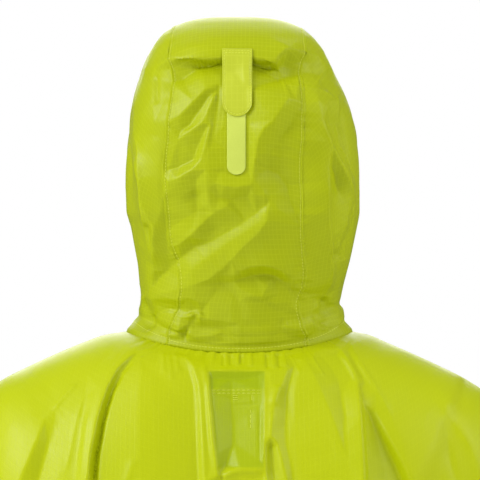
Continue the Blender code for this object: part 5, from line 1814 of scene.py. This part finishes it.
@dataclass
class Adjuster:
    """The tab that is sewn on under the crown and closes on a strip of loop tape."""

    finishes: Finishes
    stitching: Stitching
    hood: Hood
    tab: Strap = Strap(2.2 * MM, 14.75 * MM, 276.5 * MM, 212.5 * MM, 14 * MM, 1.3 * MM, 70, 40)
    strip: Strap = Strap(3.0 * MM, 9.25 * MM, 250 * MM, 155 * MM, 9 * MM, 1.0 * MM, 90, 26)
    tab_cut_length: float = 70 * MM
    sewn_down_to_z: float = 272 * MM
    closed_from_z: float = 255 * MM
    laid_gap: float = 0.15 * MM
    laid_reach: float = 2.0 * MM
    edge_round: float = 0.7 * MM
    edge_share: float = 0.45
    stitch_inset: float = 2.1 * MM
    groove_depth: float = 0.28 * MM
    groove_width: float = 0.5 * MM
    row_gap: float = 2.2 * MM
    stitch: float = 2.0 * MM

    def clear_height(self, plane: Array) -> Array:
        """How high a laid piece has to stand over the form to clear the panel round each of its points.

        Args:
            plane: The places of its points in the back view.

        Returns:
            One height for each point.
        """
        form, tree = self.hood.form, self.hood.centre_tree
        highest = np.full(len(plane), -np.inf)
        for shift in ((0, 0), (1, 0), (-1, 0), (0, 1), (0, -1)):
            base = form.seen_from(View.BACK, plane + np.array(shift) * self.laid_reach)
            highest = np.maximum(highest, height_over(tree, base, form.normals(base)))
        return highest

    def shell(
        self, strap: Strap, plane: Array, away: Array, lift: Array
    ) -> tuple[Sheet, Array]:
        """Makes a strap's shell over the form, rounded towards its edge.

        Args:
            strap: The strap.
            plane: The places of its points in the back view.
            away: How far each is from the strap's edge.
            lift: How high each lies over the form.

        Returns:
            The shell, and the way out of the form at each point of the plane.
        """
        base = self.hood.form.seen_from(View.BACK, plane.reshape(-1, 2))
        normals = self.hood.form.normals(base)
        lift = self.calm(lift.reshape(plane.shape[:2])).ravel()
        inward = np.clip(away.ravel() / self.edge_round, 0, 1)
        fullness = self.edge_share + (1 - self.edge_share) * np.sqrt(inward * (2 - inward))
        top = base + normals * (lift + strap.thickness * fullness)[:, None]
        under = base + normals * lift[:, None]
        shape = (*plane.shape[:2], 3)
        flat = plane - plane[-1, plane.shape[1] // 2]
        sheet = Sheet(top.reshape(shape)[:, ::-1], under.reshape(shape)[:, ::-1], flat[:, ::-1])
        return sheet, normals.reshape(shape)

    def add(self) -> None:
        """Adds the strip, the tab and the tab's stitches."""
        self.add_strip()
        self.add_tab()

    def add_strip(self) -> None:
        """Adds the strip of loop tape."""
        plane, away = self.strip.plane()
        lift = self.clear_height(plane.reshape(-1, 2)) + self.laid_gap
        sheet, _ = self.shell(self.strip, plane, away, lift)
        strip = sheet.add("loop_strip", self.finishes.tape, "hood_loop_strip", Slot.TAPE)
        min(flat_area(sheet.outer), 0.00175)

    def add_tab(self) -> None:
        """Adds the tab, which lies on the hood at its sewn end and on the strip where it is closed."""
        plane, away = self.tab.plane()
        x, z = plane.reshape(-1, 2).T
        sewn = self.clear_height(np.column_stack([x, np.clip(z, self.sewn_down_to_z, self.tab.top_z)]))
        closed = self.clear_height(np.column_stack([x, np.clip(z, self.tab.bottom_z, self.closed_from_z)]))
        share = smooth_step((self.sewn_down_to_z - z) / (self.sewn_down_to_z - self.closed_from_z))
        closed = closed + 2 * self.laid_gap + self.strip.thickness
        lift = (sewn + self.laid_gap) * (1 - share) + closed * share
        sheet, normals = self.shell(self.tab, plane, away, lift)
        groove = self.groove_depth * np.exp(-(((away - self.stitch_inset) / self.groove_width) ** 2))
        sheet.outer = sheet.outer - (normals * groove[..., None])[:, ::-1]
        tab = sheet.add("adjuster_tab", self.finishes.tab, "hood_tab")
        min(flat_area(sheet.outer), 0.0020)
        self.sew_tab(grid_tree(sheet.outer[:, ::-1]))

    @staticmethod
    def calm(lift: Array, rounds: int = 6) -> Array:
        """Evens out a grid of heights, as a stiff strap does."""
        for _ in range(rounds):
            padded = np.pad(lift, 1, mode="edge")
            mean = (padded[:-2, 1:-1] + padded[2:, 1:-1] + padded[1:-1, :-2] + padded[1:-1, 2:]) / 4
            lift = np.maximum(lift, mean)
        return lift

    def sew_tab(self, tree: BVHTree) -> None:
        """Sews the tab's edge stitches and the row that holds its upper end.

        Args:
            tree: The tab's face as a tree.
        """
        form, tab, inset = self.hood.form, self.tab, self.stitch_inset
        half, radius = tab.half_width - inset, tab.end_radius - inset
        left, right = tab.centre_x - half, tab.centre_x + half
        low, high = tab.bottom_z + inset, tab.top_z - inset
        turns = np.linspace(math.pi, math.tau, 40)
        arc = [(tab.centre_x + half * math.cos(t), 0.0, low + radius * (1 + math.sin(t))) for t in turns]
        border = [(left, 0.0, high), *arc, (right, 0.0, high), (left, 0.0, high)]
        second = [(left, 0.0, high - self.row_gap), (right, 0.0, high - self.row_gap)]
        lines = []
        for drawn in (border, second):
            places = read_along(np.array(drawn), np.linspace(0, 1, 400))[:, [0, 2]]
            base = form.seen_from(View.BACK, places)
            ways = form.normals(base)
            lines.append((base + ways * height_over(tree, base, ways)[:, None], ways))
        self.stitching.row("tab_stitches", lines, self.stitch)


@dataclass
class Body:
    """The wide front and back, which meet along the shoulders and part into slits at the sides."""

    finishes: Finishes
    stitching: Stitching
    form: BodyForm = field(default_factory=BodyForm)
    neck: NeckSeam = NeckSeam()
    hem: float = 18 * MM
    hem_step: float = 1.5 * MM
    stitch_inset: float = 3 * MM
    hem_stitch: float = 5 * MM
    slit_from_z: float = -0.40
    slit_open_z: float = -0.58
    slit_half_gap: float = 14 * MM
    seam_half_gap: float = 0.05 * MM
    drape_full_z: float = -0.98
    drape_sink: float = 20 * MM
    folds_held_for: float = 1.2
    creases_held_for: float = 0.3
    crumple_for: float = 2.0
    facets_held_for: float = 0.8
    side_calm: Pair = (20 * MM, 60 * MM)
    # Where the painted shade over the inside patch lies, and how strong it is
    patch_shade_left: Pair = (30 * MM, 21 * MM)
    patch_shade_right: Pair = (-25 * MM, -24 * MM)
    patch_shade_strong_to_z: float = -56 * MM
    patch_shade_weaker: float = 0.72
    patch_shade_edge: float = 1.5 * MM

    def __post_init__(self) -> None:
        """Lays the creases on the form."""
        self.folds = tracks_on(self.form, BODY_FOLDS)
        fine = BODY_CREASES + PATCH_PRINT + crumples(View.BACK, 14, 30, (-215, 215, -230, -50), 0.4)
        fine += crumples(View.FRONT, 15, 60, (-200, 200, -260, -80), 0.5)
        box = (-0.60, 0.60, -1.08, 0.05)
        crumples_of = {1: (71, 60 * MM, 0.8 * MM), -1: (72, 60 * MM, 1.8 * MM)}
        self.facets = {side: Facets.crumpled(*values, box) for side, values in crumples_of.items()}
        self.broad_facets = Facets.folded(BACK_FACET_LINES)
        self.creases = tracks_on(self.form, fine)
        neck = self.neck.ring(np.linspace(0, math.tau, 240))
        kinds = ((51, 0.5 * MM, 8 * MM, 4.6 * MM), (52, 0.9 * MM, 14 * MM, 11 * MM))
        self.puckers = [Pucker(neck, *kind) for kind in kinds]

    def drapes(self, place: Array, z: Array) -> Array:
        """How far the hanging folds lift the body's points.

        Args:
            place: Places round the body, from -1 to 1.
            z: Heights.

        Returns:
            One lift for each point.
        """
        first = max(drape.from_z for drape in DRAPES)
        lift = -self.drape_sink * smooth_step((first - z) / (first - self.drape_full_z))
        for drape in DRAPES:
            away = np.abs((place - drape.place + 1.0) % 2.0 - 1.0)
            grown = smooth_step((drape.from_z - z) / (drape.from_z - self.drape_full_z))
            lift += drape.height * MM * grown * np.exp(-((away / drape.width) ** 2))
        return lift

    def surface(self, angle: Array, ring: Array) -> tuple[Array, Array]:
        """The worn cloth's outer points, and the way out of the form at each.

        Args:
            angle: The turn of each point round the body.
            ring: Its place in the table of rings.

        Returns:
            The points and the unit vectors.
        """
        base = self.form.point(angle, ring)
        normals = self.form.normals(angle, ring)
        place = -((angle - math.pi / 2 + math.pi) % math.tau - math.pi) / math.pi
        lift = sum(track.heights(base, normals) for track in self.folds) + self.drapes(place, base[:, 2])
        lift = lift * smooth_step(ring / self.folds_held_for)
        fine = sum(track.heights(base, normals) for track in self.creases)
        lift += fine * smooth_step(ring / self.creases_held_for)
        lift += sum(pucker.heights(base) for pucker in self.puckers)
        side = 1 if float(np.mean(base[:, 1])) > 0 else -1
        start, fade = self.side_calm
        calm = smooth_step((np.abs(base[:, 1]) - start) / fade) * smooth_step(ring / self.crumple_for)
        lift += self.facets[side].lift(base[:, [0, 2]]) * calm
        if side > 0:
            behind = smooth_step(normals[:, 1] / FACING_BACK) * smooth_step(ring / self.facets_held_for)
            lift += self.broad_facets.lift(base[:, [0, 2]], BORDER_ROUNDING) * behind
        return base + normals * lift[:, None], normals

    def patch_painted_shade(self, outer: Array) -> Array:
        """Where the back's cloth lies double over the inside patch, and takes painted shade there.

        Args:
            outer: The cloth's outer points.

        Returns:
            How strong the painted shade is at each, from 0 to 1.
        """
        x, z = outer[..., 0], outer[..., 2]
        share = np.clip((z - PATCH_EDGE_TOP) / (PATCH_EDGE_BOTTOM - PATCH_EDGE_TOP), 0, 1)
        left = self.patch_shade_left[0] + (self.patch_shade_left[1] - self.patch_shade_left[0]) * share
        right = self.patch_shade_right[0] + (self.patch_shade_right[1] - self.patch_shade_right[0]) * share
        to_ends = np.minimum(PATCH_EDGE_TOP - z, z - PATCH_EDGE_BOTTOM)
        strength = np.where(z > self.patch_shade_strong_to_z, 1.0, self.patch_shade_weaker)
        inside = np.minimum(np.minimum(left - x, x - right), to_ends)
        return smooth_step(inside / self.patch_shade_edge + 0.5) * strength * (outer[..., 1] > 0)

    def add_half(self, name: str, node: str, start: float, rows: Array, shares: Array) -> Sheet:
        """Adds the back or the front.

        Args:
            name: The piece's name.
            node: The solid that it stands for.
            start: The angle of its first side.
            rows: The places of its rows in the table of rings.
            shares: The places of its columns, as shares of each row's length.

        Returns:
            The cloth.
        """
        _, side_z, _, back_y, _, front_y, _, squareness = self.form.read(rows)
        opened = smooth_step((self.slit_from_z - side_z) / (self.slit_from_z - self.slit_open_z))
        half_gap = self.seam_half_gap + (self.slit_half_gap - self.seam_half_gap) * opened
        depth = back_y if start == 0 else front_y
        trim = np.arcsin((half_gap / depth) ** (squareness / 2))
        turns = []
        fine = (1 - np.cos(np.linspace(0, math.pi, 500))) / 2
        for ring, cut in zip(rows, trim):
            angle = start + cut + (math.pi - 2 * cut) * fine
            marks = marks_along(self.form.point(angle, np.full(len(angle), ring)))
            turns.append(np.interp(shares * marks[-1], marks, angle))
        shape = (len(rows), len(shares), 3)
        angle, ring = np.concatenate(turns), np.repeat(rows, len(shares))
        outer, normals = (part.reshape(shape) for part in self.surface(angle, ring))
        to_hem = np.linalg.norm(outer - outer[-1][None], axis=-1)
        sides = [np.linalg.norm(outer - outer[:, [column]], axis=-1) for column in (0, -1)]
        to_side = np.where(opened[:, None] > 0.02, np.minimum(*sides), self.hem + 1)
        turned = smooth_step((self.hem - np.minimum(to_hem, to_side)) / self.hem_step)
        sheet = Sheet.hemmed(outer, normals, turned, self.form.point(angle, ring).reshape(shape))
        # Painted shade over the inside patch, added to that of the hems
        sheet.doubled = sheet.doubled + self.patch_painted_shade(sheet.outer)
        outer = sheet.outer
        piece = sheet.add(name, self.finishes.body, node)
        flat_area(outer)
        inset = self.hem - self.stitch_inset
        row = nearest(to_hem[:, len(shares) // 2], inset)
        lines = [(outer[row], normals[row])]
        slit = np.flatnonzero(opened > 0.05)
        for corner in (0, -1):
            column = nearest(np.linalg.norm(outer[-1] - outer[-1, corner], axis=-1), inset)
            lines.append((outer[slit, column], normals[slit, column]))
        self.stitching.row(f"{name.split('_')[0]}_hem_stitches", lines, self.hem_stitch)
        return sheet

    def add(self) -> Sheet:
        """Adds the front and the back, and returns the back."""
        rows = graded((0.0, 0.3, 12), (0.3, 5.6, 98), (5.6, 10.0, 26), (10.0, 16.0, 34))
        shares = graded(
            (0.0, 0.17, 14), (0.17, 0.31, 60), (0.31, 0.43, 30), (0.43, 0.475, 20), (0.475, 0.54, 20),
            (0.54, 0.575, 16), (0.575, 0.68, 34), (0.68, 0.85, 62), (0.85, 1.0, 12),
        )
        back = self.add_half("back_cloth", "back_body", 0.0, rows, shares)
        rows = graded((0.0, 0.3, 6), (0.3, 6.0, 60), (6.0, 10.0, 24), (10.0, 16.0, 34))
        shares = graded((0.0, 1.0, 170))
        self.add_half("front_cloth", "front_body", math.pi, rows, shares)
        return back


@dataclass
class InsidePatch:
    """The small patch sewn on the inside of the upper back."""

    finishes: Finishes
    stitching: Stitching
    top_z: float = -38 * MM
    bottom_z: float = -136 * MM
    left: Pair = (31 * MM, 21 * MM)
    right: Pair = (-26 * MM, -23 * MM)
    gap: float = 0.2 * MM
    stitch: float = 4 * MM

    def add(self, back: Sheet) -> None:
        """Adds the patch on the back's inner face.

        Args:
            back: The back's cloth.
        """
        tree = grid_tree(back.inner)
        down, across = np.linspace(0, 1, 60)[:, None], np.linspace(0, 1, 40)[None, :]
        left = self.left[0] + (self.left[1] - self.left[0]) * down
        right = self.right[0] + (self.right[1] - self.right[0]) * down
        x = left + (right - left) * across
        z = np.broadcast_to(self.top_z + (self.bottom_z - self.top_z) * down, x.shape)
        rays = [(Vector((a, 0.02, b)), Vector((0, 1, 0)), 0.4) for a, b in zip(x.flat, z.flat)]
        face = np.array([tree.ray_cast(*ray)[0] for ray in rays]).reshape(*x.shape, 3)
        ways = unit(np.cross(np.gradient(face, axis=0), np.gradient(face, axis=1)))
        ways = np.where(ways[..., 1:2] > 0, -ways, ways)
        outer = face + ways * self.gap
        sheet = Sheet(outer, outer + ways * CLOTH, np.stack([x, z], axis=-1))
        piece = sheet.add("inside_patch", self.finishes.body, "back_patch")
        flat_area(outer)
        tree = grid_tree(back.outer)
        lines = []
        for start, end in PATCH_SEAMS:
            spots = np.linspace(start, end, 24) * MM
            hits = [tree.ray_cast(Vector((x, 0.4, z)), Vector((0, -1, 0)), 0.5) for x, z in spots]
            ways = np.array([hit[1] for hit in hits])
            lines.append((np.array([hit[0] for hit in hits]), np.where(ways[:, 1:2] < 0, -ways, ways)))
        self.stitching.row("patch_stitches", lines, self.stitch)


@dataclass(frozen=True)
class SoftLamp:
    """A soft square light that faces the poncho."""

    name: str
    place: Triple
    size: float
    power: float
    aim: Triple = (0.0, 0.0, 0.05)
    mirrored: bool = True

    def add(self) -> None:
        """Adds the light."""
        data = bpy.data.lights.new(self.name, "AREA")
        data.shape, data.size, data.energy = "SQUARE", self.size, self.power
        lamp = placed(self.name, data)
        lamp.location = self.place
        lamp.visible_glossy = self.mirrored
        lamp.rotation_mode = "QUATERNION"
        lamp.rotation_quaternion = (Vector(self.aim) - Vector(self.place)).to_track_quat("-Z", "Y")


@dataclass
class Studio:
    """The pale floor, the soft lights, the white surroundings and the camera."""

    floor_z: float = -1.47
    floor_size: float = 16.0
    surround: float = 0.54
    mirrored: float = 0.08
    camera_distance: float = 10.0
    frame_width: float = 0.480
    camera_x: float = -0.0005
    camera_z: float = 0.0905
    lamps: tuple[SoftLamp, ...] = (
        SoftLamp("key", (2.45, 1.3, 2.0), 1.6, 88.0),
        SoftLamp("fill", (-2.5, 1.2, 2.0), 1.6, 34.0),
        SoftLamp("low_fill", (0.8, 3.0, -1.0), 1.6, 34.0, mirrored=False),
        SoftLamp("edge", (-3.2, -0.6, 0.9), 1.6, 34.0, mirrored=False),
        SoftLamp("low_edge", (3.0, 0.6, -0.9), 1.4, 18.0, mirrored=False),
        SoftLamp("far_low_edge", (-3.0, 0.6, -0.9), 1.4, 10.0, mirrored=False),
        SoftLamp("ceiling", (0.0, 0.2, 3.2), 2.4, 20.0, mirrored=False),
        SoftLamp("front", (0.15, -3.0, 1.4), 2.0, 44.0),
    )

    def add(self) -> None:
        """Adds everything of the studio."""
        self.add_floor()
        self.add_surround()
        for lamp in self.lamps:
            lamp.add()
        self.add_camera()

    def add_floor(self) -> None:
        """Adds the floor."""
        half = self.floor_size / 2
        data = bpy.data.meshes.new("floor")
        corners = [(-half, -half, 0), (half, -half, 0), (half, half, 0), (-half, half, 0)]
        data.from_pydata(corners, [], [(0, 1, 2, 3)])
        data.materials.append(FloorFinish().build())
        floor = placed("floor", data)
        floor.location = (0, 0, self.floor_z)
        floor.visible_glossy = False

    def add_surround(self) -> None:
        """Adds white surroundings, which light the poncho less than they show."""
        world = bpy.data.worlds.new("surround")
        bpy.context.scene.world = world
        world.use_nodes = True
        world.cycles.sampling_method = "NONE"
        nodes, links = world.node_tree.nodes, world.node_tree.links
        nodes.clear()
        path, output = nodes.new("ShaderNodeLightPath"), nodes.new("ShaderNodeOutputWorld")
        last = None
        rays = ((self.surround, None), (self.mirrored, "Is Glossy Ray"), (1.0, "Is Camera Ray"))
        for strength, ray in rays:
            glow = nodes.new("ShaderNodeBackground")
            glow.inputs["Color"].default_value = (1, 1, 1, 1)
            glow.inputs["Strength"].default_value = strength
            if ray is not None:
                mix = nodes.new("ShaderNodeMixShader")
                links.new(path.outputs[ray], mix.inputs["Fac"])
                links.new(last, mix.inputs[1])
                links.new(glow.outputs[0], mix.inputs[2])
                glow = mix
            last = glow.outputs[0]
        links.new(last, output.inputs["Surface"])

    def add_camera(self) -> None:
        """Adds the camera, level and straight behind the hood."""
        data = bpy.data.cameras.new("camera")
        data.sensor_width = 36.0
        data.lens = data.sensor_width * self.camera_distance / self.frame_width
        data.clip_end = 100.0
        camera = placed("camera", data)
        camera.location = (self.camera_x, self.camera_distance, self.camera_z)
        camera.rotation_euler = (math.pi / 2, 0.0, math.pi)
        bpy.context.scene.camera = camera
        bpy.context.scene.view_settings.view_transform = "Standard"


def main() -> None:
    """Builds the poncho piece by piece, and the studio round it."""
    logging.basicConfig(level=logging.INFO, format="%(name)s %(message)s")
    finishes = Finishes()
    stitching = Stitching(finishes.thread)
    hood = Hood(finishes, stitching)
    hood.add_centre()
    hood.add_side(1)
    hood.add_side(-1)
    Adjuster(finishes, stitching, hood).add()
    back = Body(finishes, stitching).add()
    InsidePatch(finishes, stitching).add(back)
    Studio().add()


if __name__ == "__main__":
    main()
